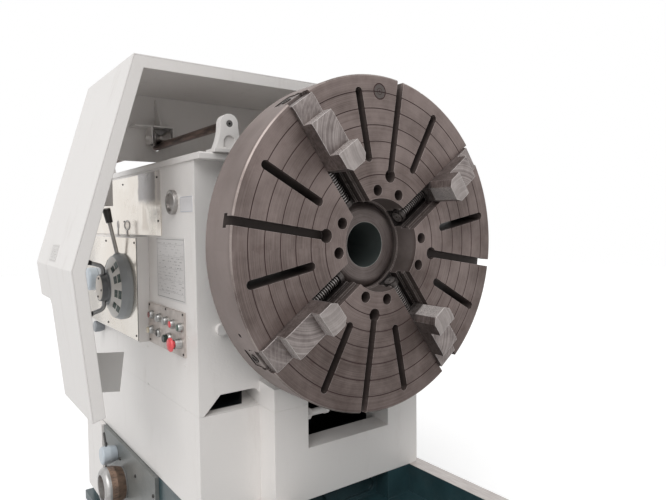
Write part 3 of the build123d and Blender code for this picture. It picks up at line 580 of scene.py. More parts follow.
def slab(mesh, low, high, rounding=0.0, steps=2):
    """A block between two corners, with its edges rounded if a radius is given."""
    middle = (Vector(low) + Vector(high)) / 2
    size = Vector(high) - Vector(low)
    place = Matrix.Translation(middle) @ Matrix.Diagonal((*size, 1))
    corners = bmesh.ops.create_cube(mesh, size=1, matrix=place)["verts"]
    if rounding:
        edges = {edge for vert in corners for edge in vert.link_edges}
        bmesh.ops.bevel(mesh, geom=list(edges), offset=rounding, offset_type="OFFSET", affect="EDGES",
                        segments=steps, profile=0.5, material=-1)


def face_operator(mesh, verts, x, z, y):
    """Turns vertices built along +Z to stand out of the face at y, towards the operator."""
    turn = Matrix.Translation((x, y, z)) @ Matrix.Rotation(math.radians(90), 4, "X")
    bmesh.ops.transform(mesh, matrix=turn, verts=verts)


def screws_on_face(name, places, y, radius, height, finish, body="machine"):
    """A row of like screws with rounded heads and sockets on the operator's side, as one piece."""
    mesh = bmesh.new()
    for x, z in places:
        before = set(mesh.verts)
        turned(mesh, [(radius, -0.001), (radius, height * 0.35), (radius * 0.9, height * 0.75),
                      (radius * 0.68, height)], 20)
        recess(mesh, radius * 0.68, height, radius * 0.42, 6, height * 0.6, 20)
        bmesh.ops.remove_doubles(mesh, verts=mesh.verts, dist=0.00001)
        face_operator(mesh, [vert for vert in mesh.verts if vert not in before], x, z, y)
    return keep(mesh, name, body, finish)


def standing(name, profile, place, finish, steps=40, body="machine"):
    """A turned piece that stands out of the operator's side at a place of x, z and y."""
    mesh = bmesh.new()
    turned(mesh, profile, steps)
    face_operator(mesh, mesh.verts, *place)
    return keep(mesh, name, body, finish)


black_screw = mottled("black_screw", 120.0, (0.015, 0.013, 0.013), (0.06, 0.055, 0.05), 0.35, 0.2,
                      detail=3.0, contrast=(0.3, 0.7), Metallic=0.4)

screws_on_face("panel_screws", [(-0.951, 1.471), (-0.577, 1.474), (-0.946, 1.330), (-0.573, 1.330),
                                (-1.38, 1.471), (-1.38, 1.305)],
               panel_low.y, 0.0036, 0.0022, black_screw)

mesh = bmesh.new()
edge_gap = 0.004
sheet_y = cover_box_low - cover_sheet
slab(mesh, (cover_low.x + edge_gap, sheet_y, cover_low.z + edge_gap),
     (cover_high.x - 2 * edge_gap, cover_box_low + 0.001, cover_high.z - edge_gap), 0.0006)
keep(mesh, "cover_sheet", "machine", polished)
# A thin black strip behind the sheet's right edge stands for the shade in the gap there: painted shade.
mesh = bmesh.new()
slab(mesh, (cover_high.x - 2 * edge_gap, cover_box_low - cover_sheet / 2, cover_low.z + edge_gap),
     (cover_high.x - edge_gap * 0.75, cover_box_low + 0.001, cover_high.z - edge_gap), 0.0004, 1)
keep(mesh, "cover_gap_shade", "machine", black_screw)
cover_screw_x = (cover_high.x - 0.022, (cover_low.x + cover_high.x) / 2 - 0.02, cover_low.x + 0.022)
cover_screw_z = (cover_low.z + 0.020, cover_high.z - 0.020)
screws_on_face("cover_screws", [(x, z) for x in cover_screw_x for z in cover_screw_z], sheet_y, 0.0042,
               0.0025, black_screw)


# Gear dial: a cast ring in blue-grey paint that turns round a fixed hub. Its cone carries a printed band
# with pairs of dark windows for the gear numbers, and a straight lever with a black grip stands in its
# ear.

blue_paint = Finish("blue_paint", Coat_Weight=0.2, Coat_Roughness=0.25)
cloud = blue_paint.place.noise(14.0, 4.0, 0.6)
chips = blue_paint.edges(0.002) * blue_paint.place.noise(120.0, 2.0, 0.6).rise(0.5, 0.62)
colour = cloud.blend((0.270, 0.285, 0.297), (0.350, 0.367, 0.378))
colour = chips.blend(colour, (0.45, 0.44, 0.43))
blue_paint.feed(Base_Color=colour, Roughness=0.36 + cloud * 0.14)
blue_paint.relief(blue_paint.place.noise(260.0, 2.0), 0.0003, 0.002)
coat(blue_paint, "dial_ring")

hub_paint = mottled("hub_paint", 14.0, (0.095, 0.098, 0.104), (0.150, 0.155, 0.160), 0.3, 0.12,
                    (0.0003, 0.0025), Coat_Weight=0.2, Coat_Roughness=0.2)
coat(hub_paint, "selector_hub")
printed_band = mottled("printed_band", 30.0, (0.50, 0.48, 0.455), (0.62, 0.60, 0.57), 0.34, 0.1,
                       Metallic=0.25)
beige_plate = mottled("beige_plate", 20.0, (0.60, 0.54, 0.48), (0.70, 0.65, 0.59), 0.36, 0.1, Metallic=0.15)
window_green = mottled("window_green", 60.0, (0.006, 0.022, 0.016), (0.014, 0.045, 0.032), 0.25, 0.1,
                       detail=3.0, Coat_Weight=0.3)

dial_x, dial_z = -0.840, 1.095
ring_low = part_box("dial_ring")[0]
hub_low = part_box("selector_hub")[0]
band_outer, band_outer_y = 0.111, ring_low.y + 0.023
band_inner, band_inner_y = 0.062, ring_low.y
sticker = 0.0006
window_angles = [math.radians(angle) for angle in (53, 22, -11, -45, 127, 158, 191, 225)]
window_rows = (0.195, 0.550)
window_wide = 0.0150
window_high = 0.0300


def cone_place(angle, along, lift=0.0):
    """Matrix for a small part on the dial's cone: X runs up the slope outwards, Z stands off the cone."""
    slope = Vector((band_outer - band_inner, -(band_outer_y - band_inner_y))).normalized()
    radius = band_outer + (band_inner - band_outer) * along
    depth = band_outer_y + (band_inner_y - band_outer_y) * along
    out = Vector((math.cos(angle), 0, math.sin(angle)))
    front = Vector((0, -1, 0))
    axis_x = out * slope.x + front * slope.y
    axis_z = out * -slope.y + front * slope.x
    axis_y = axis_z.cross(axis_x)
    turn = Matrix((axis_x, axis_y, axis_z)).transposed().to_4x4()
    centre = Vector((dial_x, 0, dial_z)) + out * radius + Vector((0, depth, 0)) + axis_z * lift
    return Matrix.Translation(centre) @ turn


slope = Vector((band_outer - band_inner, band_outer_y - band_inner_y))
normal = Vector((slope.y, -slope.x)).normalized() * sticker
band = [(band_outer - slope.x * share, band_outer_y - slope.y * share) for share in (0.03, 0.97)]
lifted = [(radius + abs(normal.x), depth - abs(normal.y)) for radius, depth in band]
band_loop = (band[0], lifted[0], lifted[1], band[1], band[0])
standing("dial_band", [(radius, -depth) for radius, depth in band_loop],
         (dial_x, dial_z, 0), printed_band, 96, "dial")

mesh = bmesh.new()
for angle in window_angles:
    for along in window_rows:
        size = Matrix.Diagonal((window_wide, window_high * (1.06 - along * 0.3), 0.0018, 1))
        place = cone_place(angle, along, sticker) @ size
        fresh = bmesh.ops.create_cube(mesh, size=1, matrix=place)["verts"]
        edges = {edge for vert in fresh for edge in vert.link_edges}
        bmesh.ops.bevel(mesh, geom=list(edges), offset=0.0004, offset_type="OFFSET", affect="EDGES",
                        segments=1, profile=0.5, material=-1)
keep(mesh, "dial_windows", "dial", window_green)


def lettered(text, height):
    """Flat mesh of a few figures, centred, lying in the XY plane."""
    curve = bpy.data.curves.new("figures", "FONT")
    curve.body = text
    curve.size = height
    curve.align_x = "CENTER"
    curve.align_y = "CENTER"
    curve.extrude = 0.0002
    curve.resolution_u = 3
    holder = bpy.data.objects.new("figures", curve)
    flat = bpy.data.meshes.new_from_object(holder)
    mesh = bmesh.new()
    mesh.from_mesh(flat)
    bpy.data.objects.remove(holder)
    bpy.data.curves.remove(curve)
    bpy.data.meshes.remove(flat)
    return mesh


def join(target, extra, matrix):
    """Adds one bmesh to another at a place."""
    extra.transform(matrix)
    holder = bpy.data.meshes.new("holder")
    extra.to_mesh(holder)
    target.from_mesh(holder)
    extra.free()
    bpy.data.meshes.remove(holder)


gear_numbers = (8, 10, 12, 16, 20, 25, 31, 40, 50, 63, 80, 100, 125, 160, 200, 250)
pale_ink = Finish("pale_ink", Roughness=0.4)
speck = pale_ink.place.noise(200.0, 2.0, 0.5)
pale_ink.feed(Base_Color=speck.blend((0.09, 0.12, 0.10), (0.15, 0.18, 0.16)))
mesh = bmesh.new()
upright = Matrix.Rotation(math.radians(-90), 4, "Z")
for index, number in enumerate(gear_numbers):
    angle = window_angles[index // 2]
    along = window_rows[index % 2]
    flip = Matrix.Rotation(math.pi, 4, "Z") if math.cos(angle) < 0 else Matrix.Identity(4)
    place = cone_place(angle, along, sticker + 0.0009)
    join(mesh, lettered(str(number), 0.0065), place @ flip @ upright)
keep(mesh, "dial_figures", "dial", pale_ink)

hub_plate = 0.044
standing("hub_plate", [(0, 0.0012), (hub_plate - 0.001, 0.0012), (hub_plate, 0.0006), (hub_plate, -0.0005)],
         (dial_x, dial_z, hub_low.y), beige_plate, 64, "selector")
hub_screw_ring = 0.034
hub_screws = [(dial_x + hub_screw_ring * math.cos(angle), dial_z + hub_screw_ring * math.sin(angle))
              for angle in (math.radians(90), math.radians(-10), math.radians(-110))]
screws_on_face("hub_screws", hub_screws, hub_low.y - 0.0012, 0.0042, 0.0022, black_screw,
               "selector")

black_grip = mottled("black_grip", 80.0, (0.012, 0.010, 0.010), (0.028, 0.024, 0.023), 0.38, 0.15, (0.0002,),
                     Coat_Weight=0.2)
lever_lean = math.radians(11.5)
lever_length = 0.128
grip_length = 0.052
lever_seat = (dial_x, -0.53225, dial_z + 0.106)
grip_waist, grip_end = 0.0118, 0.0143

mesh = bmesh.new()
turned(mesh, [(0.0070, -0.0004), (grip_waist - 0.001, -0.0004), (grip_waist, 0.0008),
              (grip_end, grip_length - 0.004), (grip_end - 0.0012, grip_length - 0.0008),
              (grip_end - 0.004, grip_length + 0.0006), (0, grip_length + 0.001)], 32)
bmesh.ops.translate(mesh, verts=mesh.verts, vec=(0, 0, lever_length))
mesh.transform(Matrix.Translation(lever_seat) @ Matrix.Rotation(lever_lean, 4, "X"))
keep(mesh, "lever_grip", "dial", black_grip)

handle_steel = Finish("handle_steel")
cloud = handle_steel.place.noise(50.0, 4.0, 0.6)
knob_start = 1 - handle_steel.place.part(1).rise(-0.6245, -0.6235)
colour = cloud.blend((0.22, 0.22, 0.225), (0.36, 0.36, 0.36))
handle_steel.feed(Base_Color=knob_start.blend(colour, (0.012, 0.012, 0.016)),
                  Metallic=0.8 - knob_start * 0.8, Roughness=0.3 + cloud * 0.15)
handle_steel.relief(cloud, 0.0002, 0.0015)
coat(handle_steel, "hub_handles")


# Knobs: the cup knob and the feed knob in moulded light blue plastic and the low knob in grey, all turned by
# hand. A dark seam runs round the upper part of the cup knob.

blue_knob = Finish("blue_knob", Coat_Weight=0.35, Coat_Roughness=0.15)
cloud = blue_knob.place.noise(26.0, 4.0, 0.6)
cup_low, cup_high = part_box("cup_knob")
cup_seam = abs(blue_knob.place.part(1) - (cup_low.y + cup_high.y) / 2) < 0.0009
cup_seam = cup_seam * (blue_knob.place.part(2) > 1.0)
colour = cloud.blend((0.46, 0.52, 0.57), (0.56, 0.61, 0.66))
blue_knob.feed(Base_Color=(cup_seam * 0.8).blend(colour, (0.14, 0.16, 0.18)), Roughness=0.3 + cloud * 0.12)
blue_knob.relief(cloud, 0.0002, 0.002)
coat(blue_knob, "cup_knob", "feed_knob")

grey_knob = mottled("grey_knob", 26.0, (0.20, 0.215, 0.235), (0.27, 0.285, 0.305), 0.32, 0.12,
                    (0.0002, 0.002), Coat_Weight=0.3, Coat_Roughness=0.2)
coat(grey_knob, "low_knob")


# Sight glass: a steel bezel screwed into the casting, with a dark domed glass in it for the oil level.
# A thin steel ring trims it.

glass_x, glass_z = -0.440, 1.387
glass_radius = 0.029
glass_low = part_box("sight_glass")[0]
oil_glass = mottled("oil_glass", 40.0, (0.14, 0.12, 0.115), (0.24, 0.21, 0.20), 0.2, 0.1, detail=3.0,
                    Coat_Weight=1.0, Coat_Roughness=0.05)
standing("sight_window", [(0, 0.0068), (0.014, 0.0066), (glass_radius - 0.003, 0.0058),
                          (glass_radius, 0.0048), (glass_radius, 0.0040)],
         (glass_x, glass_z, glass_low.y + 0.012), oil_glass, 64)
standing("sight_bezel", [(0.0375, 0.0120), (0.0365, 0.0132), (0.0315, 0.0132), (0.0300, 0.0120)],
         (glass_x, glass_z, front_y), bright_steel, 64)


# Operator's plates: a bare settings plate ruled with fine lines, riveted at its corners, and a small
# plate with a printed frame beside the sight glass.

def printed_frame(finish, x, z, half_x, half_z, half_line):
    """Distances from the middle of a plate, and a thin printed frame round it."""
    across = abs(finish.place.part(0) - x)
    up = abs(finish.place.part(2) - z)
    gap = across - half_x
    return across, up, abs(gap.maths("MAXIMUM", gap, up - half_z)) < half_line

settings_plate = Finish("settings_plate", Metallic=0.35)
across = settings_plate.place.part(0)
up = settings_plate.place.part(2)
cloud = settings_plate.place.noise(7.0, 4.0, 0.6)
plate_left, plate_right = -0.600, -0.357
plate_low, plate_high = 1.077, 1.277
margin = 0.012
inside = (across > plate_left + margin) * (across < plate_right - margin) * (up > plate_low + margin)
inside = inside * (up < plate_high - margin)
row_height = 0.0095
rows = (up * (1 / row_height)).maths("FRACT", up * (1 / row_height))
row_number = (up * (1 / row_height)).maths("FLOOR", up * (1 / row_height))
cells = row_number.node("ShaderNodeCombineXYZ", {0: across * 38, 1: row_number * 3.7, 2: 0.0})
broken = cells.noise(1.0, 1.0, 0.5).rise(0.50, 0.53)
marks = across.node("ShaderNodeCombineXYZ", {0: across * 330, 1: row_number * 5.1, 2: 0.0})
strokes = (rows > 0.32) * (rows < 0.62) * broken * marks.noise(1.0, 2.0, 0.7).rise(0.5, 0.56)
ruled = (rows < 0.06) * ((row_number * 0.25).maths("FRACT", row_number * 0.25) < 0.2)
frame_line = printed_frame(settings_plate, (plate_left + plate_right) / 2, (plate_low + plate_high) / 2,
                           (plate_right - plate_left - margin) / 2, (plate_high - plate_low - margin) / 2,
                           0.0009)[2]
ink = (strokes + ruled).maths("MINIMUM", strokes + ruled, 1.0) * inside + frame_line
colour = cloud.blend((0.62, 0.60, 0.59), (0.74, 0.72, 0.71))
colour = (ink * 0.8).blend(colour, (0.10, 0.085, 0.085))
settings_plate.feed(Base_Color=colour, Roughness=0.3 + cloud * 0.1)
settings_plate.relief(cloud, 0.0001)

mesh = bmesh.new()
plate_thick = 0.0012
slab(mesh, (plate_left, front_y - plate_thick, plate_low), (plate_right, front_y + 0.0005, plate_high),
     0.0004, 1)
keep(mesh, "settings_plate", "machine", settings_plate)

label = Finish("bare_label", Metallic=0.2)
label_x, label_z = -0.3375, 1.378
label_half_x, label_half_z = 0.0465, 0.024
cloud = label.place.noise(30.0, 3.0, 0.6)
border = printed_frame(label, label_x, label_z, 0.0435, 0.0215, 0.0007)[2]
colour = cloud.blend((0.70, 0.69, 0.70), (0.78, 0.77, 0.78))
label.feed(Base_Color=(border * 0.7).blend(colour, (0.32, 0.35, 0.45)), Roughness=0.3 + cloud * 0.1)
label.relief(cloud, 0.0001)
mesh = bmesh.new()
slab(mesh, (label_x - label_half_x, front_y - 0.0008, label_z - label_half_z),
     (label_x + label_half_x, front_y + 0.0005, label_z + label_half_z), 0.0003, 1)
keep(mesh, "label_plate", "machine", label)
screws_on_face("settings_rivets", [(x, z) for x in (plate_left + 0.006, plate_right - 0.006)
                                   for z in (plate_low + 0.006, plate_high - 0.006)],
               front_y - plate_thick, 0.0022, 0.0012, bright_steel)

# Eye bolts: two lifting eyes on round flanges on top of the gear cover, each turned to its own angle. Their
# steel is pale and dull.

eye_steel = mottled("eye_steel", 60.0, (0.50, 0.49, 0.48), (0.74, 0.72, 0.71), 0.3, 0.15, Metallic=0.35)
eye_radius, eye_wire = 0.0160, 0.0028
eye_y = -0.492
wire_sides, ring_steps = 10, 28
cover_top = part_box("gear_cover")[1].z
for number, (x, turn) in enumerate(((-0.853, 17.0), (-0.968, -9.0)), start=1):
    mesh = bmesh.new()
    turned(mesh, [(0, -0.001), (0.0085, -0.001), (0.0085, 0.0022), (0.0072, 0.0034), (0.0036, 0.0040),
                  (0.0032, 0.024), (0, 0.024)], 20)
    bars = []
    for step in range(ring_steps):
        lean = math.tau * step / ring_steps
        spot = Matrix.Rotation(lean, 4, "Y") @ Matrix.Translation((eye_radius, 0, 0))
        bars.append([mesh.verts.new(spot @ Vector((eye_wire * math.cos(a), eye_wire * math.sin(a), 0)))
                     for a in (math.tau * side / wire_sides for side in range(wire_sides))])
    for here, there in zip(bars, bars[1:] + bars[:1]):
        for side in range(wire_sides):
            mesh.faces.new((here[side], here[side - 1], there[side - 1], there[side]))
    ring = [vert for bar in bars for vert in bar]
    bmesh.ops.translate(mesh, verts=ring, vec=(0, 0, 0.0215 + eye_radius + eye_wire))
    bmesh.ops.recalc_face_normals(mesh, faces=mesh.faces)
    mesh.transform(Matrix.Translation((x, eye_y, cover_top)) @ Matrix.Rotation(math.radians(turn), 4, "Z"))
    keep(mesh, "eye_bolt_%d" % number, "machine", eye_steel)

# Hood label: a thin sticker on the guard's leaning sheet, which travels with the guard. It has a printed
# frame and faint marks that spell nothing.

hood_label = Finish("hood_label")
sticker_x, sticker_z = -0.6258, 1.2348
hood_edge_y, hood_edge_z = -0.611, 1.798
hood_fall = 0.181 / 0.602
marks = hood_label.place.stretch((90, 90, 160)).noise(2.0, 3.0, 0.6).rise(0.5, 0.62)
across, up, border = printed_frame(hood_label, sticker_x, sticker_z, 0.044, 0.0212, 0.0010)
inner = (across < 0.036) * (up < 0.016)
colour = marks.blend((0.66, 0.64, 0.62), (0.60, 0.57, 0.55))
colour = (inner * marks * 0.5 + border * 0.35).blend(colour, (0.30, 0.27, 0.26))
hood_label.feed(Base_Color=colour, Roughness=0.35 + marks * 0.1)
hood_label.relief(marks, 0.0001)
mesh = bmesh.new()
slab(mesh, (-0.048, -0.0006, -0.0265), (0.048, 0.0004, 0.0265), 0.0002, 1)
sticker_y = hood_edge_y - (hood_edge_z - sticker_z) * hood_fall
mesh.transform(Matrix.Translation((sticker_x, sticker_y, sticker_z))
               @ Matrix.Rotation(-math.atan(hood_fall), 4, "X"))
keep(mesh, "hood_label", "guard", hood_label)

# Push-button panel: a screwed sheet of anodised aluminium with lamps in chrome bezels, a key switch, a red
# mushroom button and a green push button, each button in a chrome collar.

button_sheet = Finish("button_sheet", Metallic=0.45)
cloud = button_sheet.place.noise(8.0, 5.0, 0.65)
grain = button_sheet.place.stretch((3, 3, 220)).noise(2.0, 3.0, 0.6)
dirt = button_sheet.place.noise(22.0, 5.0, 0.7).rise(0.5, 0.75)
colour = cloud.rise(0.3, 0.7).blend((0.42, 0.375, 0.345), (0.66, 0.60, 0.56))
colour = (dirt * 0.4).blend(colour, (0.26, 0.22, 0.20))
button_sheet.feed(Base_Color=colour, Roughness=0.32 + grain * 0.14)
button_sheet.relief(grain, 0.0001, 0.001)
coat(button_sheet, "button_panel")
button_low, button_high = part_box("button_panel")
panel_y = front_y - 0.006
corner_screws = [(x, z) for x in (button_low.x + 0.013, button_high.x - 0.009)
                 for z in (button_low.z + 0.009, button_high.z - 0.006)]
corner_screws += [((button_low.x + button_high.x) / 2 + 0.008, button_high.z - 0.005)]
screws_on_face("button_panel_screws", corner_screws, panel_y, 0.0038, 0.0022, black_screw)

bezel_finish = mottled("bezel_chrome", 60.0, (0.36, 0.36, 0.35), (0.52, 0.52, 0.51), 0.3, 0.12,
                       Metallic=0.95)


def plastic(name, dark, light, roughness=0.28):
    """Glossy moulded plastic between two close colours."""
    return mottled(name, 90.0, dark, light, roughness, 0.1, detail=3.0, Coat_Weight=0.4, Coat_Roughness=0.12)


red_plastic = plastic("red_plastic", (0.72, 0.075, 0.085), (0.85, 0.105, 0.115), 0.42)
cream_plastic = plastic("cream_plastic", (0.60, 0.52, 0.38), (0.70, 0.63, 0.50))
dim_red_plastic = plastic("dim_red_plastic", (0.16, 0.030, 0.025), (0.24, 0.05, 0.04))
green_plastic = plastic("green_plastic", (0.060, 0.100, 0.080), (0.095, 0.140, 0.115))
dark_green_plastic = plastic("dark_green_plastic", (0.006, 0.020, 0.014), (0.012, 0.035, 0.024))
silver_plastic = plastic("silver_plastic", (0.34, 0.34, 0.33), (0.46, 0.46, 0.45))

bezel_radius = 0.0148
lens_radius = 0.0108


def bezel(name, x, z, reach):
    """Chrome ring round a lamp or a button, with a knurled nut against the sheet."""
    return standing(name, [(bezel_radius, 0.0), (bezel_radius, 0.0035), (bezel_radius - 0.0012, 0.0045),
                           (bezel_radius - 0.0016, reach - 0.002), (bezel_radius - 0.0028, reach),
                           (lens_radius, reach), (lens_radius, reach - 0.006), (0, reach - 0.006)],
                    (x, z, panel_y), bezel_finish)


def lens(name, x, z, reach, finish, dome=0.003):
    """Domed lens inside a bezel."""
    radius = lens_radius - 0.0003
    standing(name, [(radius, reach - 0.005), (radius, reach + dome * 0.3),
                    (radius * 0.86, reach + dome * 0.75), (radius * 0.5, reach + dome),
                    (0, reach + dome * 1.08)], (x, z, panel_y), finish, 32)


lamp_reach = 0.0135
top_row = [(-0.643, 1.012, dim_red_plastic, "red_button"), (-0.571, 1.010, silver_plastic, "bright_steel"),
           (-0.508, 1.008, silver_plastic, "bright_steel"), (-0.449, 1.006, red_plastic, "red_button"),
           (-0.385, 1.004, green_plastic, "green_button")]
for number, (x, z, finish, slot) in enumerate(top_row, start=1):
    bezel("lamp_bezel_%d" % number, x, z, lamp_reach)
    lens("lamp_%d" % number, x, z, lamp_reach, finish)
bezel("cream_bezel", -0.645, 0.960, lamp_reach + 0.002)
lens("cream_lamp", -0.645, 0.960, lamp_reach + 0.0045, cream_plastic, 0.0025)
key_x, key_z = -0.582, 0.958
bezel("key_bezel", key_x, key_z, 0.010)
mesh = bmesh.new()
slab(mesh, (-0.0011, -0.0070, 0.004), (0.0011, 0.0070, 0.0175), 0.0003, 1)
face_operator(mesh, mesh.verts, key_x, key_z, panel_y)
keep(mesh, "key_blade", "machine", bright_steel)
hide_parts("pilot_lights")

stop_low, stop_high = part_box("stop_button")
stop_x = (stop_low.x + stop_high.x) / 2
stop_z = (stop_low.z + stop_high.z) / 2
stop_radius = (stop_high.x - stop_low.x) / 2
stem_radius = 0.0108
cap_depth = stop_high.y - stop_low.y
mushroom = standing("mushroom_button", [
    (0, 0.001), (stem_radius, 0.001), (stem_radius, cap_depth - 0.0125),
    (stop_radius - 0.0040, cap_depth - 0.0120),
    (stop_radius - 0.0003, cap_depth - 0.0100), (stop_radius - 0.0003, cap_depth - 0.0065),
    (stop_radius * 0.84, cap_depth - 0.0024), (stop_radius * 0.5, cap_depth - 0.0006), (0, cap_depth)
], (stop_x, stop_z, stop_high.y), red_plastic, 48, "stop_button")
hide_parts("stop_button")
push_low, push_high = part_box("push_button")
push_x = (push_low.x + push_high.x) / 2
push_z = (push_low.z + push_high.z) / 2
push_radius = (push_high.x - push_low.x) / 2
push_depth = push_high.y - push_low.y
pusher = standing("push_cap", [
    (0, 0.001), (stem_radius, 0.001), (stem_radius, push_depth - 0.0080),
    (push_radius - 0.0006, push_depth - 0.0080),
    (push_radius - 0.0002, push_depth - 0.0030), (push_radius - 0.0020, push_depth - 0.0006),
    (push_radius - 0.0040, push_depth - 0.0004), (push_radius - 0.0048, push_depth - 0.0014),
    (0, push_depth - 0.0014)
], (push_x, push_z, push_high.y), dark_green_plastic, 40, "push_button")
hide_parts("push_button")
collar = bezel_radius + 0.0005
for name, x, z, reach in (("stop_collar", stop_x, stop_z, 0.022), ("push_collar", push_x, push_z, 0.012)):
    standing(name, [(collar + 0.0015, 0.0), (collar + 0.0015, 0.0040), (collar + 0.0004, 0.0052),
                    (collar, reach - 0.002), (collar - 0.001, reach), (collar - 0.0036, reach),
                    (collar - 0.0036, reach - 0.001)], (x, z, panel_y), bezel_finish)


# Guard's end wall: the guard's own end plate, with its small wing on the operator's side set further forward
# than the rest. The wing is a plain flat sheet, painted greyer than the wall for the shade it lies in.

end_wall = bmesh.new()
end_wall.from_mesh(nodes["hood_end_wall"].data)
bmesh.ops.remove_doubles(end_wall, verts=end_wall.verts, dist=0.00002)
old_wing = [vert for vert in end_wall.verts if vert.co.x > -0.80]
bmesh.ops.delete(end_wall, geom=old_wing, context="VERTS")
wing_back, wing_face = -0.606, -0.602
wing_outline = [(-0.7464, 0.797), (-0.605, 0.7785), (-0.588, 0.905), (-0.759, 0.922)]
corners = [end_wall.verts.new((wing_back, y, z)) for y, z in wing_outline]
sheet = end_wall.faces.new(corners)
raised = bmesh.ops.extrude_face_region(end_wall, geom=[sheet], use_keep_orig=True)["geom"]
bmesh.ops.translate(end_wall, verts=[item for item in raised if isinstance(item, bmesh.types.BMVert)],
                    vec=(wing_face - wing_back, 0, 0))
bmesh.ops.recalc_face_normals(end_wall, faces=end_wall.faces)

end_wall_paint, colour = painted("end_wall_paint")
# The wing's colour is darkened to grey: painted shade.
wing_shade = end_wall_paint.place.part(0).rise(-0.700, -0.699)
end_wall_paint.feed(Base_Color=wing_shade.blend(colour, (0.50, 0.49, 0.475)))
end_wall_piece = keep(end_wall, "guard_end_wall", "guard", end_wall_paint, 30)
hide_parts("hood_end_wall")


# Small fittings on the castings: a pipe stub with its nut in the bed's channel, and five painted screws on
# the headstock's front.

pipe_place = (-0.215, -0.150, 0.711)
mesh = bmesh.new()
turned(mesh, [(0, -0.001), (0.0112, -0.001), (0.0112, 0.078), (0.0138, 0.078), (0.0138, 0.094),
              (0.0125, 0.0955), (0.0085, 0.0955), (0.0085, 0.088), (0, 0.088)], 32)
turned(mesh, [(0, 0.006), (0.0185, 0.006), (0.0195, 0.0072), (0.0195, 0.0228), (0.0185, 0.024),
              (0, 0.024)], 6)
mesh.transform(Matrix.Translation(pipe_place) @ Matrix.Rotation(math.radians(-90), 4, "X"))
keep(mesh, "channel_pipe", "machine", white_paint, 30)

body_dots = [(-0.717, 0.889), (-0.347, 0.977), (-0.371, 0.885), (-0.379, 0.748), (-0.722, 0.752)]
screws_on_face("body_screws", body_dots, front_y, 0.0036, 0.0018, white_paint)


# Feed box: a cast cover in grey-green paint on the pedestal's front, fixed by socket screws, with a
# light blue knob and a graduated drum whose collar has browned.

green_paint = Finish("green_paint", Coat_Weight=0.2, Coat_Roughness=0.25)
cloud = green_paint.place.noise(5.0, 5.0, 0.65)
speck = green_paint.place.noise(60.0, 4.0, 0.7).rise(0.5, 0.75)
colour = cloud.rise(0.3, 0.7).blend((0.105, 0.113, 0.110), (0.160, 0.167, 0.160))
colour = (speck * 0.3).blend(colour, (0.24, 0.22, 0.20))
green_paint.feed(Base_Color=colour, Roughness=0.34 + cloud * 0.16)
green_paint.relief(cloud * 0.5 + speck * 0.5, 0.0005, 0.003)
coat(green_paint, "feed_box")
feed_low, feed_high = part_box("feed_box")
feed_y = -0.486
screw_inset, low_inset = 0.020, 0.030
row_z, row_step = 0.372, 0.197
feed_screws = [(feed_high.x - screw_inset - row_step * number, row_z) for number in range(5)]
feed_screws += [(x, z) for x in (feed_high.x - screw_inset, feed_low.x + screw_inset)
                for z in (feed_low.z + low_inset, (feed_low.z + feed_high.z) / 2)]
feed_screws += [(feed_low.x + (feed_high.x - feed_low.x) * share, feed_low.z + low_inset)
                for share in (0.25, 0.5, 0.75)]
screws_on_face("feed_screws", feed_screws, feed_y, 0.0065, 0.0040, black_screw)

drum_low, drum_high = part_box("feed_drum")
drum_x = (drum_low.x + drum_high.x) / 2
drum_z = (drum_low.z + drum_high.z) / 2
drum_steel = Finish("drum_steel", Metallic=0.75)
depth = drum_steel.place.part(1)
cloud = drum_steel.place.noise(24.0, 5.0, 0.65)
streak = drum_steel.place.stretch((30, 3, 30)).noise(2.0, 4.0, 0.6)
collar = (depth > drum_low.y + 0.024) * (depth < drum_high.y - 0.006)
colour = cloud.rise(0.3, 0.7).blend((0.40, 0.39, 0.38), (0.56, 0.55, 0.54))
brown = (cloud * 0.5 + streak * 0.5).rise(0.35, 0.65).blend((0.17, 0.125, 0.10), (0.40, 0.27, 0.20))
drum_steel.feed(Base_Color=collar.blend(colour, brown), Roughness=0.28 + cloud * 0.2)
drum_steel.relief(cloud, 0.0003, 0.002)
coat(drum_steel, "feed_drum")
tick_count = 40
tick_radius = 0.0742
mesh = bmesh.new()
for number in range(tick_count):
    angle = math.tau * number / tick_count
    long = 0.016 if number % 5 == 0 else 0.009
    place = (Matrix.Translation((drum_x, 0, drum_z)) @ Matrix.Rotation(-angle, 4, "Y")
             @ Matrix.Translation((tick_radius - 0.0005, drum_low.y + 0.030 + long / 2, 0)))
    bmesh.ops.create_cube(mesh, size=1, matrix=place @ Matrix.Diagonal((0.0006, long, 0.0010, 1)))
keep(mesh, "drum_ticks", "feed_drum", black_screw)

knob_low, knob_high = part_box("feed_knob")
knob_x = (knob_low.x + knob_high.x) / 2
knob_z = (knob_low.z + knob_high.z) / 2
stick_length = 0.060
mesh = bmesh.new()
turned(mesh, [(0, 0), (0.0042, 0), (0.0042, stick_length - 0.004), (0.003, stick_length), (0, stick_length)],
       20)
mesh.transform(Matrix.Translation((knob_x, knob_low.y + 0.022, knob_z + 0.033)) @ Matrix.Rotation(
    math.radians(-30), 4, "Y"))
keep(mesh, "feed_knob_stick", "feed_knob", black_grip)


# Floor, backdrop, lamps and camera: a plain pale floor, one broad soft lamp from the operator's side and
# above, and the camera at the photograph's own place and angle.

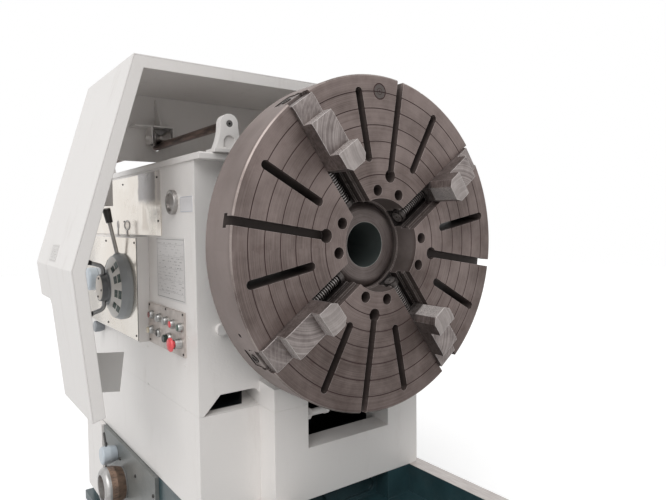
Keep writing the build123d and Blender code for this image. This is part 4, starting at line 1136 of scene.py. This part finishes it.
floor_size = 30.0
mesh = bmesh.new()
bmesh.ops.create_grid(mesh, x_segments=1, y_segments=1, size=floor_size / 2)
data = bpy.data.meshes.new("floor")
mesh.to_mesh(data)
mesh.free()
floor = bpy.data.objects.new("floor", data)
bpy.context.scene.collection.objects.link(floor)
floor_paint = bpy.data.materials.new("floor_paint")
floor_paint.use_nodes = True
floor_tree = floor_paint.node_tree
floor_shader = floor_tree.nodes["Principled BSDF"]
floor_shader.inputs["Base Color"].default_value = (0.86, 0.86, 0.86, 1)
floor_shader.inputs["Roughness"].default_value = 0.9
seen = Signal(floor_tree.nodes.new("ShaderNodeLightPath").outputs["Is Camera Ray"])
glow = seen.node("ShaderNodeEmission", {"Color": (1, 1, 1, 1), "Strength": seen * 0.35})
both = glow.node("ShaderNodeAddShader", {0: glow, 1: Signal(floor_shader.outputs[0])})
floor_tree.links.new(both.socket, floor_tree.nodes["Material Output"].inputs[0])
data.materials.append(floor_paint)

world = bpy.data.worlds.new("studio")
bpy.context.scene.world = world
world.use_nodes = True
sky = world.node_tree
path = sky.nodes.new("ShaderNodeLightPath")
mirror = Signal(path.outputs["Is Glossy Ray"])
straight = Signal(path.outputs["Is Camera Ray"])
through = Signal(path.outputs["Is Transmission Ray"])
shown = straight.maths("MAXIMUM", straight, through)
room = mirror * 0.42 + 0.51
strength = room + (1 - room) * shown
sky.links.new(strength.socket, sky.nodes["Background"].inputs["Strength"])
sky.nodes["Background"].inputs["Color"].default_value = (1.0, 1.0, 1.0, 1)

lamp = bpy.data.lights.new("broad_lamp", "SUN")
lamp.energy = 1.70
lamp.angle = math.radians(50)
lamp_object = bpy.data.objects.new("broad_lamp", lamp)
bpy.context.scene.collection.objects.link(lamp_object)
lamp_from = Vector((0.44, -0.53, 0.72))
lamp_object.rotation_euler = lamp_from.to_track_quat("Z", "Y").to_euler()

camera_place = Vector((1.2678, -1.1234, 1.3212))
camera_yaw = math.radians(36.53)
camera_pitch = math.radians(2.843)
camera_roll = math.radians(-0.569)
lens_length = 30.57
forward = Vector((-math.cos(camera_yaw) * math.cos(camera_pitch),
                  math.sin(camera_yaw) * math.cos(camera_pitch),
                  -math.sin(camera_pitch)))
camera_data = bpy.data.cameras.new("camera")
camera_data.sensor_width = 36.0
camera_data.lens = lens_length
camera_data.clip_end = 100.0
camera = bpy.data.objects.new("camera", camera_data)
bpy.context.scene.collection.objects.link(camera)
facing = forward.to_track_quat("-Z", "Y").to_matrix().to_4x4()
camera.matrix_world = Matrix.Translation(camera_place) @ facing @ Matrix.Rotation(camera_roll, 4, "Z")
bpy.context.scene.camera = camera
bpy.context.scene.view_settings.view_transform = "Standard"

bpy.context.view_layer.update()
